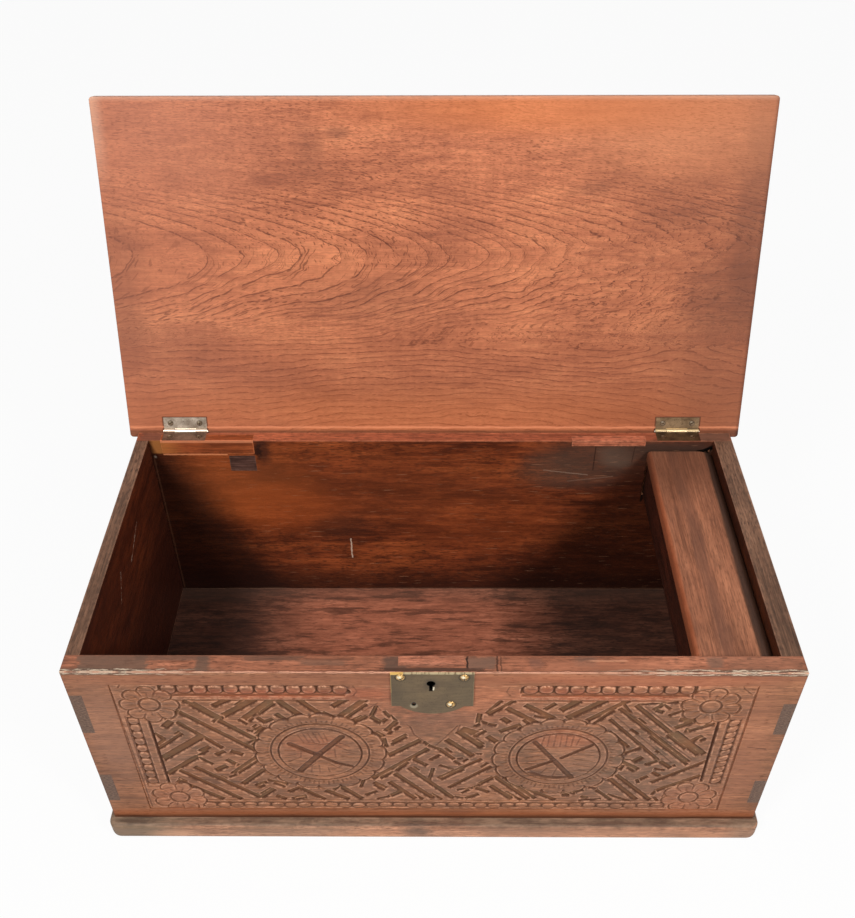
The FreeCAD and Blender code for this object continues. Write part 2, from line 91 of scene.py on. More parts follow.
class Finish:
    def __init__(self, name, owners=bpy.data.materials):
        self.owner = owners.new(name)
        self.owner.use_nodes = True
        self.tree = self.owner.node_tree
        self.tree.nodes.clear()

    def readPlaces(self):  # mm, as in the frame
        split = self.node("ShaderNodeSeparateXYZ", {}, {0: self.node("ShaderNodeTexCoord", {}, {}, "Object")})
        self.x, self.y, self.z = (self.output(split, number) * 1000 for number in range(3))
        return self

    def node(self, kind, settings, inputs, output=0):
        made = self.tree.nodes.new(kind)
        for name, value in settings.items():
            if name == "stops":
                self.fillRamp(made.color_ramp, value)
            else:
                setattr(made, name, value)
        for key, value in inputs.items():
            if isinstance(value, Signal):
                self.tree.links.new(value.socket, made.inputs[key])
            else:
                made.inputs[key].default_value = socketValue(value)
        return Signal(self, made.outputs[output]) if len(made.outputs) else None

    def output(self, signal, name):  # another output of the node that a signal comes from
        return Signal(self, signal.socket.node.outputs[name])

    def fillRamp(self, ramp, stops):
        while len(ramp.elements) < len(stops):
            ramp.elements.new(0.5)
        for element, (spot, colour) in zip(ramp.elements, stops):
            element.position = spot
            element.color = socketValue(colour)

    def math(self, operation, *values):
        return self.node("ShaderNodeMath", {"operation": operation}, dict(enumerate(values)))

    def vector(self, x, y, z):
        return self.node("ShaderNodeCombineXYZ", {}, {0: x, 1: y, 2: z})

    def noise(self, x, y, z, detail=2.0, rough=0.5, warp=0.0):
        inputs = {"Vector": self.vector(x, y, z), "Scale": 1.0, "Detail": detail}
        return self.node("ShaderNodeTexNoise", {}, {**inputs, "Roughness": rough, "Distortion": warp})

    def step(self, value, low, high, start=0.0, end=1.0):
        inputs = {"Value": value, "From Min": low, "From Max": high, "To Min": start, "To Max": end}
        return self.node("ShaderNodeMapRange", {"interpolation_type": "SMOOTHSTEP"}, inputs)

    def band(self, value, low, high, soft):
        return self.step(value, low - soft, low + soft) * self.step(value, high - soft, high + soft, 1.0, 0.0)

    def spot(self, u, v, centre, reach, soft=0.5):
        across = (u - centre[0]) / reach[0]
        along = (v - centre[1]) / reach[1]
        far = (across * across + along * along).calc("SQRT")
        return self.step(far, 1 - soft, 1 + soft, 1.0, 0.0)

    def stroke(self, u, v, line, width, soft):
        startU, startV, endU, endV = line
        stepU, stepV = endU - startU, endV - startV
        size = stepU ** 2 + stepV ** 2
        offU, offV = u - startU, v - startV
        share = ((offU * stepU + offV * stepV) / size).calc("MINIMUM", 1.0).calc("MAXIMUM", 0.0)
        gapU, gapV = offU - share * stepU, offV - share * stepV
        far = (gapU * gapU + gapV * gapV).calc("SQRT")
        return self.step(far, width / 2 - soft, width / 2 + soft, 1.0, 0.0)

    def mix(self, factor, first, second, blend="MIX"):
        inputs = {0: factor, 6: first, 7: second}
        return self.node("ShaderNodeMix", {"data_type": "RGBA", "blend_type": blend}, inputs, 2)

    def blend(self, factor, first, second):
        return self.node("ShaderNodeMix", {"data_type": "FLOAT"}, {0: factor, 2: first, 3: second})

    def grade(self, value, *stops):
        return self.node("ShaderNodeValToRGB", {"stops": stops}, {0: value})

    def shade(self, colour, amount):  # one factor on all three channels
        return self.mix(1.0, colour, self.grey(amount), "MULTIPLY")

    def grey(self, amount):
        return self.node("ShaderNodeCombineColor", {}, {0: amount, 1: amount, 2: amount})

    def directRays(self):  # what the camera sees, also in metal and glass
        seen = self.node("ShaderNodeLightPath", {}, {}, "Is Camera Ray")
        glossy, through = (self.output(seen, "Is " + kind + " Ray") for kind in ("Glossy", "Transmission"))
        return seen.calc("MAXIMUM", glossy).calc("MAXIMUM", through)

    def edge(self, low, high):  # distance to the nearest edge of a box, on its surface
        far = [((axis - start).calc("MINIMUM", end - axis)).calc("MAXIMUM", 0.0)
               for axis, start, end in zip((self.x, self.y, self.z), low, high)]
        a, b, c = far
        return a.calc("MINIMUM", b).calc("MAXIMUM", a.calc("MAXIMUM", b).calc("MINIMUM", c))

    def close(self, colour, rough, height, bump, reach, metal):
        tilt = self.node("ShaderNodeBump", {}, {"Height": height, "Strength": bump, "Distance": reach})
        inputs = {"Base Color": colour, "Roughness": rough, "Metallic": metal, "Normal": tilt}
        if not metal:
            inputs["Specular IOR Level"] = dullSheen
        self.node("ShaderNodeOutputMaterial", {}, {0: self.node("ShaderNodeBsdfPrincipled", {}, inputs)})
        return self.owner


dullSheen = 0.22  # old wood throws back little light


class Coat:  # what a surface shows, laid on in turn
    def __init__(self, finish, colour, rough, height, metal=0.0):
        self.finish, self.colour, self.rough, self.height, self.metal = finish, colour, rough, height, metal

    def tint(self, mask, tone):
        self.colour = self.finish.mix(mask, self.colour, tone)

    def shade(self, amount):
        self.colour = self.finish.shade(self.colour, amount)

    def close(self, bump=0.4, reach=0.0004):
        return self.finish.close(self.colour, self.rough, self.height, bump, reach, self.metal)


def dress(name, material):
    slots = nodes[name].data.materials
    slots.clear()
    slots.append(material)


def cornersOf(name):
    low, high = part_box(name)
    return tuple(v * 1000 for v in low), tuple(v * 1000 for v in high)


caseFaces = {"front": -137.0, "rim": 226.0}
hinge = {"y": 139.03, "z": 226.2, "up": 0.951, "back": 0.309}  # the axis, and which way the opened lid leans


# wood

caseTones = {
    "light": (170, 116, 84), "mid": (146, 97, 69), "dark": (108, 70, 48), "pore": (70, 40, 26),
    "streak": 4.2, "run": 110, "pores": 0.75, "shine": 0.5, "mottle": 0.28,
}
# inside tones: partly the wood's own colour, partly painted shade inside the box
innerTones = {
    "light": (158, 80, 42), "mid": (116, 54, 29), "dark": (70, 31, 18), "pore": (34, 14, 9),
    "streak": 6.5, "run": 70, "pores": 0.8, "shine": 0.46, "mottle": 0.62,
}
floorTones = {
    "light": (200, 130, 102), "mid": (146, 88, 67), "dark": (66, 38, 29), "pore": (38, 21, 16),
    "streak": 3.0, "run": 34, "pores": 0.9, "shine": 0.52, "mottle": 0.5,
}
baseTones = {
    "light": (214, 160, 130), "mid": (182, 130, 102), "dark": (122, 86, 68), "pore": (64, 43, 33),
    "streak": 3.2, "run": 70, "pores": 0.8, "shine": 0.55, "mottle": 0.45,
}
rimTones = {
    "light": (186, 122, 94), "mid": (154, 98, 74), "dark": (108, 69, 53), "pore": (70, 44, 34),
    "streak": 3.0, "run": 50, "pores": 0.7, "shine": 0.55, "mottle": 0.4,
}
sideRimTones = {
    "light": (140, 105, 84), "mid": (116, 85, 67), "dark": (80, 58, 45), "pore": (50, 35, 27),
    "streak": 2.6, "run": 60, "pores": 0.8, "shine": 0.58, "mottle": 0.45,
}
backRimTones = {
    "light": (186, 104, 72), "mid": (160, 87, 61), "dark": (116, 62, 44), "pore": (74, 38, 28),
    "streak": 3.4, "run": 120, "pores": 0.6, "shine": 0.5, "mottle": 0.3,
}


grimeTones = {"edge": (40, 26, 20), "rim": (78, 52, 41)}


def boardWood(finish, along, across, depth, tones, shift):
    noise, step = finish.noise, finish.step
    run, wide = tones["run"], tones["streak"]
    streak = noise(along / run + shift, across / wide, depth / wide, 5.0, 0.6, 0.35)
    broad = noise(along / 150 + shift, across / 38, depth / 38 + shift, 3.0, 0.55, 0.2)
    fine = noise(along / 6 + shift, across / 0.85, depth / 0.85, 0.0)
    fibre = noise(along / 22 + shift, across / 1.3, depth / 1.3 + 5.0, 1.0)
    pores = step(fine, 0.60, 0.67) * tones["pores"] * step(broad, 0.35, 0.62, 0.5, 1.0)
    smudge = noise(along / 17 + shift, across / 6.5, depth / 6.5 + 8.3, 5.0, 0.68)
    cloud = noise(along / 60, across / 45, depth / 45 + shift + 3.1, 4.0, 0.6)
    stops = ((spot, tones[name]) for spot, name in ((0.35, "dark"), (0.49, "mid"), (0.64, "light")))
    colour = finish.grade(streak * 0.5 + broad * 0.5, *stops)
    rough = tones["shine"] + (streak - 0.5) * 0.22 + pores * 0.2
    wood = Coat(finish, colour, rough, streak * 0.4 - pores * 0.7)
    wood.tint(pores * 0.8, tones["pore"])
    wood.shade(step(fibre, 0.3, 0.7, 0.80, 1.20))
    wood.tint(step(smudge, 0.51, 0.62) * tones["mottle"], tones["dark"])
    wood.tint(step(smudge, 0.46, 0.36) * tones["mottle"] * 0.5, tones["light"])
    wood.shade(step(cloud, 0.3, 0.72, 0.82, 1.12))
    wood.streak, wood.broad, wood.fine, wood.cloud = streak, broad, fine, cloud
    return wood


def rub(wood, low, high, edgeTone, wide, strength, dirt):  # worn edges, with grime behind them
    finish = wood.finish
    ragged = finish.noise(finish.x / 9, finish.y / 9, finish.z / 9, 3.0, 0.65)
    gap = finish.edge(low, high) + (ragged - 0.5) * wide * 1.7
    wood.tint(finish.step(gap, 0.2, wide, 1.0, 0.0) * strength, edgeTone)
    grime = finish.step(gap, wide, wide * 4.5, 1.0, 0.0) * finish.step(ragged, 0.42, 0.62) * dirt
    wood.tint(grime, grimeTones["edge"])


def patch(wood, u, v, zones, mask=1.0, blur=0.6, drift=26.0):  # broad stains and broad painted light, with drifting edges
    driftU, driftV = (wood.cloud - 0.5) * drift, (wood.broad - 0.5) * drift
    for centre, reach, tone, strength in zones:
        area = wood.finish.spot(u + driftU, v + driftV, centre, reach, blur) * strength
        wood.tint(area * mask, tone)


# the pale grey zone at the far left is a painted reflection, and the reddish zones at height 198 are painted light on
# the sloping hollow under the beads; the others are stains
frontZones = (  # centre x and height, reach, tone, strength
    ((165, 98), (62, 62), (126, 96, 79), 0.5), ((60, 150), (34, 28), (118, 85, 68), 0.42),
    ((-2, 95), (42, 46), (124, 91, 75), 0.4), ((-55, 60), (30, 20), (118, 84, 67), 0.35),
    ((-212, 138), (20, 45), (130, 96, 79), 0.35), ((-254, 150), (20, 62), (152, 112, 93), 0.4),
    ((0, 190), (66, 28), (176, 106, 78), 0.4), ((150, 219), (110, 9), (178, 102, 72), 0.45),
    ((-150, 217), (120, 8), (144, 88, 65), 0.4), ((250, 128), (14, 90), (170, 110, 83), 0.3),
    ((-98, 130), (26, 14), (178, 106, 76), 0.3), ((104, 140), (22, 10), (172, 92, 60), 0.4),
    ((0, 162), (26, 18), (122, 84, 66), 0.6), ((-90, 204), (90, 6), (132, 88, 66), 0.35),
    ((215, 52), (24, 20), (172, 108, 80), 0.4), ((-214, 54), (26, 20), (164, 104, 80), 0.3),
    ((-120, 198), (75, 7), (172, 82, 52), 0.45), ((130, 198), (66, 7), (172, 82, 52), 0.4),
    ((20, 31), (15, 4), (74, 54, 45), 0.6),
)


frontLook = {
    "lowGlow": (154, 84, 47), "foot": (58, 32, 20), "crack": (60, 34, 24), "crackLine": (249, 131, 264, 128),
    "knock": (84, 52, 40),
}


def frontWood(finish):
    wood = boardWood(finish, finish.x, finish.z, finish.y, caseTones, 1.7)
    x, z = finish.x, finish.z
    patch(wood, x, z, frontZones)
    low = finish.step(z, 39, 28, 0.0, 1.0)
    wood.tint(low * 0.6, frontLook["lowGlow"])
    foot = finish.step(z + (wood.streak - 0.5) * 6, 30, 22.5, 0.0, 1.0)
    wood.tint(foot * 0.88, frontLook["foot"])
    crack = finish.stroke(x, z + (wood.streak - 0.5) * 3, frontLook["crackLine"], 1.0, 0.5)
    wood.tint(crack * 0.8, frontLook["crack"])
    knocks = finish.noise(x / 5, finish.y / 7, z / 4, 2.0, 0.5)
    wood.tint(finish.step(knocks, 0.68, 0.76) * 0.3, frontLook["knock"])
    return wood


def caseInside(wood, along, across, depth, shift, mask):  # redder and darker inside faces: partly the wood's own tone, partly painted shade inside the box
    inner = boardWood(wood.finish, along, across, depth, innerTones, shift)
    wood.tint(mask, inner.colour)
    wood.rough = wood.finish.blend(mask, wood.rough, inner.rough)


def rimTop(wood, along, across, shift, tones, stains=()):
    finish = wood.finish
    top = boardWood(finish, along, across, finish.z, tones, shift)
    for centre, reach, tone, strength in stains:
        ragged = finish.noise(along / 7, across / 4, 3.0, 4.0, 0.7) - 0.5
        strays = 3 + reach[0] * 0.8, reach[1] * 1.4
        alongArea, acrossArea = (
            finish.band(value + ragged * stray, middle - half, middle + half, min(half * 0.4, softest))
            for value, middle, half, stray, softest in zip((along, across), centre, reach, strays, (3.0, 1.6)))
        top.tint(alongArea * acrossArea * strength, tone)
    speckle = finish.noise(along / 12 + shift, across / 5, 2.0, 4.0, 0.65)
    top.tint(finish.step(speckle, 0.54, 0.66) * 0.35, grimeTones["rim"])
    wood.tint(finish.step(finish.z, caseFaces["rim"] - 0.7, caseFaces["rim"] - 0.2), top.colour)


frontRimStains = (  # x, y, their reaches, tone, strength
    ((-238, -130), (26, 9), (104, 80, 67), 0.85), ((-171, -129), (5, 7), (92, 74, 63), 0.8),
    ((-82, -128), (17, 2.6), (108, 82, 68), 0.6), ((-28, -128), (9, 5.5), (88, 68, 58), 0.85),
    ((0, -134.2), (38, 1.6), (62, 44, 36), 0.85), ((-120, -124), (22, 2.4), (92, 68, 56), 0.7),
    ((-196, -124), (26, 2.2), (96, 72, 60), 0.7), ((36, -128), (11, 5.2), (112, 87, 74), 0.8),
    ((25.2, -128), (0.8, 5.5), (34, 20, 15), 0.95), ((47.4, -129), (0.7, 8), (64, 38, 28), 0.85),
    ((50.2, -129), (0.5, 8), (70, 44, 34), 0.7), ((76, -128), (5, 4), (122, 84, 70), 0.6),
    ((113, -127), (8, 4.6), (104, 78, 66), 0.7), ((208, -127), (6, 5), (112, 88, 75), 0.65),
    ((246, -130), (28, 8), (140, 98, 78), 0.4), ((135, -131), (52, 5), (186, 122, 94), 0.4),
    ((130, -126), (14, 0.8), (226, 166, 132), 0.4),
)


frontRimLook = {
    "edge": (120, 74, 55), "shadow": (66, 42, 33), "greyed": (86, 68, 57), "thinSplit": (232, 174, 146),
    "wideSplit": (214, 197, 174), "hole": (6, 4, 3), "holeSize": (4.2, 4.2),
}


def frontBoardFinish():
    finish = Finish("frontBoardWood").readPlaces()
    noise, step, band = finish.noise, finish.step, finish.band
    low, high = cornersOf("front_board")
    wood = frontWood(finish)
    inside = step(finish.y, -123.2, -122.6)
    caseInside(wood, finish.x, finish.z, finish.y, 4.0, inside)
    rimTop(wood, finish.x, finish.y, 0.4, rimTones, frontRimStains)
    rub(wood, low, high, frontRimLook["edge"], 1.4, 0.4, 0.12)
    x, y, z = finish.x, finish.y, finish.z
    faceGap, rimGap = (y - caseFaces["front"]).calc("MAXIMUM", 0.0), (caseFaces["rim"] - z).calc("MAXIMUM", 0.0)
    far = faceGap + rimGap
    ends = step(abs(x + 20), 120, 235)
    wander = (noise(x / 13, 0.0, 4.0, 4.0, 0.65) - 0.5) * 3.2
    broken = noise(x / 16, far / 2.6, 7.0, 4.0, 0.7)
    wave = (noise(x / 17, 3.0, 1.0, 4.0, 0.65) - 0.5) * 6
    split = noise(x / 11, far / 1.2, 2.0, 4.0, 0.7)
    thin = band(far + wander, 0.0, 0.8, 0.45) * step(broken, 0.38, 0.5)
    wide = band(far + wave, 1.6, 2.8, 0.35) * step(split, 0.47, 0.53)
    wide = wide + band(far - wave, 0.2, 1.2, 0.3) * step(split, 0.53, 0.47)
    wide = wide.calc("MINIMUM", 1.0) * ends
    shadow = band(far + wander, 1.1, 2.0, 0.5) * step(y, -136.6, -135.8)
    wood.tint(shadow * 0.55, frontRimLook["shadow"])
    wood.tint(ends * band(far + wander, 0.0, 3.6, 1.0) * 0.7, frontRimLook["greyed"])
    wood.tint(thin * 0.85, frontRimLook["thinSplit"])
    wood.tint(wide * 0.85, frontRimLook["wideSplit"])
    # the keyhole's walls are painted near black, as painted shade inside the hole
    hole = finish.spot(x, z, plateSpec["keyhole"], frontRimLook["holeSize"], 0.1)
    hole = hole + band(x, -3.6, 0.4, 0.3) * band(z, 203, 214, 0.4)
    wood.tint(hole * step(y, -136.9, -136.4), frontRimLook["hole"])
    return wood.close()


sideLook = {
    "edge": (168, 124, 100), "endDark": (62, 46, 39), "endLight": (122, 98, 84), "scratch": (196, 176, 160),
    "scratches": ((49, 195, 16, 181), (-11, 197, -27, 176)),
    "shade": {1: (0.93, 0.66, (42, 16, 10)), -1: (0.9, 0.72, (34, 22, 16))},  # painted shade on the inside face: its strength at the foot, at the top, and its tone
}


def sideBoardFinish(name, inner, toward):  # toward is +1 where the inside lies at larger x
    finish = Finish(name + "Wood").readPlaces()
    noise, step = finish.noise, finish.step
    low, high = cornersOf(name)
    wood = boardWood(finish, finish.y, finish.z, finish.x, caseTones, 2.3 + toward)
    inside = step(finish.x * toward, inner * toward - 0.6, inner * toward - 0.2)
    caseInside(wood, finish.y, finish.z, finish.x, 7.0 + toward, inside)
    # painted shade on the inside face, stronger towards the foot
    foot, top, shade = sideLook["shade"][toward]
    wood.tint(inside * step(finish.z, 60, 200, foot, top), shade)
    rimTop(wood, finish.y, finish.x, 1.4 + toward, sideRimTones)
    rub(wood, low, high, sideLook["edge"], 1.6, 0.3, 0.3)
    endGrain = step(abs(finish.y), 136.3, 136.8) * step(finish.z, 24, 26)
    ends = noise(finish.x / 2.2, finish.z / 0.9, finish.y, 3.0, 0.6)
    dark = finish.grade(ends, (0.3, sideLook["endDark"]), (0.7, sideLook["endLight"]))
    wood.tint(endGrain * 0.92, dark)
    if toward > 0:
        y, z = finish.y, finish.z
        wobble = (noise(y / 3, z / 4, 1.0, 2.0) - 0.5) * 5
        for line in sideLook["scratches"]:
            mark = finish.stroke(y + wobble, z, line, 1.3, 0.5) * inside
            wood.tint(mark * step(wood.fine, 0.4, 0.55) * 0.8, sideLook["scratch"])
    return wood.close()


# the orange zones at the upper left and in the middle are painted light where the lamps reach the back wall; the grey
# and dark zones are stains
backZones = (  # centre x and height, reach, tone, strength
    ((-190, 175), (64, 44), (176, 92, 46), 0.4), ((-150, 140), (62, 26), (178, 84, 36), 0.35),
    ((-60, 165), (130, 40), (144, 72, 40), 0.22), ((60, 120), (70, 34), (144, 66, 30), 0.25),
    ((-90, 118), (26, 18), (60, 34, 26), 0.4), ((-155, 190), (18, 14), (78, 42, 28), 0.35),
    ((150, 198), (50, 26), (74, 56, 47), 0.75), ((170, 208), (15, 12), (116, 94, 80), 0.5),
    ((110, 190), (30, 18), (86, 62, 50), 0.45), ((222, 216), (56, 15), (66, 49, 41), 0.92),
)


backLook = {
    "edge": (196, 126, 94), "leftCastShadow": (26, 11, 8), "rightCastShadow": (44, 19, 13), "low": (34, 14, 10),
    "fineScratch": (176, 128, 98), "foot": (120, 86, 68), "hole": (8, 5, 4),
    "rimStains": (((-250, 130), (22, 9), (104, 72, 59), 0.6), ((262, 131), (17, 9), (104, 76, 62), 0.8)),
}


def backBoardFinish():
    finish = Finish("backBoardWood").readPlaces()
    noise, step, spot, stroke = finish.noise, finish.step, finish.spot, finish.stroke
    low, high = cornersOf("back_board")
    wood = boardWood(finish, finish.x, finish.z, finish.y, caseTones, 5.2)
    inside = step(finish.y, low[1] + 0.3, low[1] + 0.8, 1.0, 0.0)
    caseInside(wood, finish.x, finish.z, finish.y, 9.1, inside)
    x, z = finish.x, finish.z
    patch(wood, x, z, backZones, inside)
    rimTop(wood, x, finish.y, 3.4, backRimTones, backLook["rimStains"])
    rub(wood, low, high, backLook["edge"], 1.3, 0.35, 0.2)
    ragged = (noise(x / 5, z / 5, 3.0, 3.0) - 0.5) * 3
    deep = step(finish.y, 135.3, 135.8, 1.0, 0.0)
    # painted shadows cast across the back wall's inside by the left side and by the till and right side
    leftCastShadow = step(x + 258 - (209 - z) * 0.52 + ragged * 4, 44, -10, 0.0, 1.0)
    rightCastShadow = step(190 - x - (205 - z) * 0.75 + ragged * 4, 30, -45, 0.0, 1.0)
    rightCastShadow = rightCastShadow * step(z, 214, 190, 0.3, 1.0)
    # painted shade along the foot of the back wall, where it meets the floor
    bottom = step(z + ragged * 3 + (wood.cloud - 0.5) * 24, 74, 30, 0.0, 1.0)
    # painted light on a small patch in the upper inner left corner
    glow = step(x + ragged * 0.4, -264.5, -259) * step(x, -254, -251, 1.0, 0.0)
    marks = (
        (leftCastShadow, backLook["leftCastShadow"], 0.86), (rightCastShadow, backLook["rightCastShadow"], 0.7),
        (bottom, backLook["low"], 0.78),
        # painted shade: the slit that houses the till's side, painted near black
        (stroke(x + ragged, z, (201, 199, 201, 150), 2.2, 0.6), (12, 7, 5), 0.95),
        (stroke(x + ragged * 0.6, z, (-83, 97, -83, 70), 1.2, 0.5), (216, 196, 176), 0.8),
        (spot(x + ragged * 2.4, z + ragged * 3, (-160, 214), (8, 15), 0.6), (46, 25, 21), 0.8),
        (spot(x + ragged * 2.4, z + ragged * 3, (-163.5, 213), (3, 9), 0.5), (20, 11, 9), 0.7),
        # a painted highlight along the lower edge of the repair strip
        (stroke(x, z + ragged * 0.3, (-252, 209.3, -193, 209.3), 1.3, 0.5), (232, 150, 104), 0.7),
        (glow * step(z + ragged * 0.3, 209.5, 212), (168, 108, 58), 0.8),
        (spot(x + ragged * 0.7, z + ragged * 0.7, (-260.5, 206.5), (1.2, 1.5), 0.6), (186, 166, 150), 0.6),
        (stroke(x + ragged * 0.4, z, (-262, 205, -262, 24), 1.2, 0.7), (150, 104, 80), 0.22),
        (stroke(x + ragged * 0.3, z, (150.5, 226, 150.5, 190), 1.0, 0.5), (40, 24, 18), 0.8),
        (stroke(x + ragged * 0.3, z, (187, 224, 186, 200), 0.9, 0.5), (44, 28, 22), 0.7),
        (stroke(x, z + ragged * 0.6, (104, 190, 146, 184), 0.8, 0.6), (168, 142, 124), 0.5),
        (stroke(x, z + ragged * 0.6, (128, 176, 170, 182), 0.8, 0.6), (150, 122, 104), 0.4),
    )
    for mask, tone, strength in marks:
        wood.tint(mask * inside * strength, tone)
    scratch = noise(x / 26 + z / 9, z / 1.4 - x / 30, 4.0, 2.0)
    wood.tint(step(scratch, 0.66, 0.72) * inside * (1 - leftCastShadow) * 0.4, backLook["fineScratch"])
    foot = step(z, 22, 25, 1.0, 0.0) * inside * step(wood.cloud, 0.4, 0.6)
    wood.tint(foot * 0.4, backLook["foot"])
    # the comma-shaped hole's walls are painted near black, as painted shade inside the hole
    comma = stroke(x, z, (247, 211, 251.5, 212), 8.5, 0.5)
    comma = comma + stroke(x, z, (251, 213.5, 259, 218), 5.5, 0.5)
    wood.tint(comma * deep, backLook["hole"])
    return wood.close()


# the pale pink zones low on the front are painted highlights; the others are dust and stains
baseZones = (  # on the front edge and the ledge: x and height, reach, tone, strength
    ((-262, 12), (46, 30), (122, 106, 88), 0.8), ((-120, 12), (60, 30), (138, 116, 97), 0.45),
    ((-14, 14), (11, 9), (82, 71, 63), 0.75), ((268, 12), (14, 30), (128, 108, 90), 0.5),
    ((70, 18), (40, 6), (122, 104, 90), 0.3), ((150, 21), (60, 3), (112, 96, 82), 0.4),
    ((130, 9), (110, 9), (206, 156, 126), 0.32), ((-222, 9), (20, 6), (216, 166, 134), 0.5),
    ((-60, 9), (40, 7), (202, 142, 108), 0.4), ((235, 8), (20, 6), (204, 146, 112), 0.4),
)


# on the floor, glow is painted light in the middle and ends is painted shade at both ends
baseLook = {
    "glow": (((-35, 60), (130, 75), (204, 124, 94), 0.3),), "blot": (46, 30, 25), "ends": (38, 24, 20),
    "back": (84, 62, 52), "ledgeDustAndShade": ((0.4, (72, 58, 50)), (0.5, (104, 87, 73)), (0.6, (138, 114, 95))),
    "edge": (206, 160, 132), "chip": (80, 60, 49),
}


def baseFinish():
    finish = Finish("baseBoardWood").readPlaces()
    noise, step = finish.noise, finish.step
    low, high = cornersOf("base_board")
    wood = boardWood(finish, finish.x, finish.y + finish.z, finish.z, baseTones, 0.9)
    inside = step(abs(finish.x), 266, 268, 1.0, 0.0) * step(abs(finish.y), 124, 127, 1.0, 0.0)
    inside = inside * step(finish.z, 21.5, 21.9)
    patch(wood, finish.x, finish.z, baseZones, 1.0, 0.7, 10.0)
    inner = boardWood(finish, finish.x, finish.y, finish.z, floorTones, 6.6)
    # painted light on the middle of the floor
    patch(inner, finish.x, finish.y, baseLook["glow"])
    blot = noise(finish.x / 60, finish.y / 9, 5.0, 6.0, 0.7)
    inner.tint(step(blot, 0.51, 0.59) * 0.6, baseLook["blot"])
    ragged = finish.x + (blot - 0.5) * 60
    # painted shade at the floor's two ends
    inner.tint(step(ragged, -105, -200) * 0.85 + step(ragged, 50, 150) * 0.8, baseLook["ends"])
    inner.tint(step(finish.y + (blot - 0.5) * 20, 96, 122) * 0.4, baseLook["back"])
    wood.tint(inside, inner.colour)
    # the ledge's top: grey dust, and painted shade because it faces up
    ledge = step(finish.z, 20.6, 21.6) * (1 - inside)
    ledgeDustAndShade = noise(finish.x / 34, finish.y / 7, 8.0, 4.0, 0.68)
    wood.tint(ledge * 0.75, finish.grade(ledgeDustAndShade, *baseLook["ledgeDustAndShade"]))
    rub(wood, low, high, baseLook["edge"], 1.6, 0.14, 0.2)
    chips = noise(finish.x / 14, finish.y / 14, finish.z / 5, 3.0, 0.6)
    wood.tint(step(chips, 0.6, 0.68) * (1 - inside) * 0.35, baseLook["chip"])
    return wood.close()


def plainFinish(name, nodeName, axes, tones, edgeTone, shift, wide, strength):
    finish = Finish(name).readPlaces()
    low, high = cornersOf(nodeName)
    along, across, depth = (getattr(finish, axis) for axis in axes)
    wood = boardWood(finish, along, across, depth, tones, shift)
    rub(wood, low, high, edgeTone, wide, strength, 0.35)
    return finish, wood


# lid board: the growth rings' arches, as the underside shows them

lidLook = {
    "light": (208, 132, 93), "mid": (185, 112, 79), "dark": (150, 87, 62), "line": (86, 38, 24), "pore": (94, 47, 30),
    "tips": (0, 65, 262, 365, 455, 512, 610, 680, 775, 860, 908, 1000, 1060, 1100, 1160, 1250, 1300),
    "stain": (96, 58, 46), "pale": (222, 148, 104), "warm": (202, 116, 66), "low": (146, 80, 54),
    "dim": (116, 70, 52), "cast": (176, 116, 96), "top": (232, 190, 164), "leafBed": (66, 40, 28),
    "tailHighlight": (236, 152, 112), "darkEdge": (74, 40, 28),
    "perMm": 3.055, "middle": 867, "foot": 903.7,  # places on the lid are counted in steps of about a third of a mm
    "tipRow": 405, "bow": 0.014, "lean": 0.75, "span": 5200, "furtherStep": 74, "lowSteep": 3.8,
    "stains": (  # across, down, reach across, reach down, depth of tone
        (1712, 330, 60, 300, 0.55), (1660, 520, 110, 130, 0.45), (30, 420, 60, 170, 0.35), (20, 640, 60, 120, 0.3),
        (700, 520, 150, 60, 0.22), (550, 130, 34, 60, 0.3), (1600, 690, 70, 170, 0.2), (120, 650, 190, 70, 0.22),
        (620, 88, 30, 14, 0.4), (1280, 228, 50, 18, 0.3), (400, 160, 300, 90, 0.1), (1560, 300, 120, 40, 0.25),
        (440, 885, 80, 12, 0.35), (1490, 640, 40, 60, 0.2), (840, 790, 300, 40, 0.12),
    ),
}


def upLid(finish):  # mm from the hinge's axis along the opened lid
    return (finish.y - hinge["y"]) * hinge["back"] + (finish.z - hinge["z"]) * hinge["up"]


def throughLid(finish):
    return (finish.y - hinge["y"]) * -hinge["up"] + (finish.z - hinge["z"]) * hinge["back"]


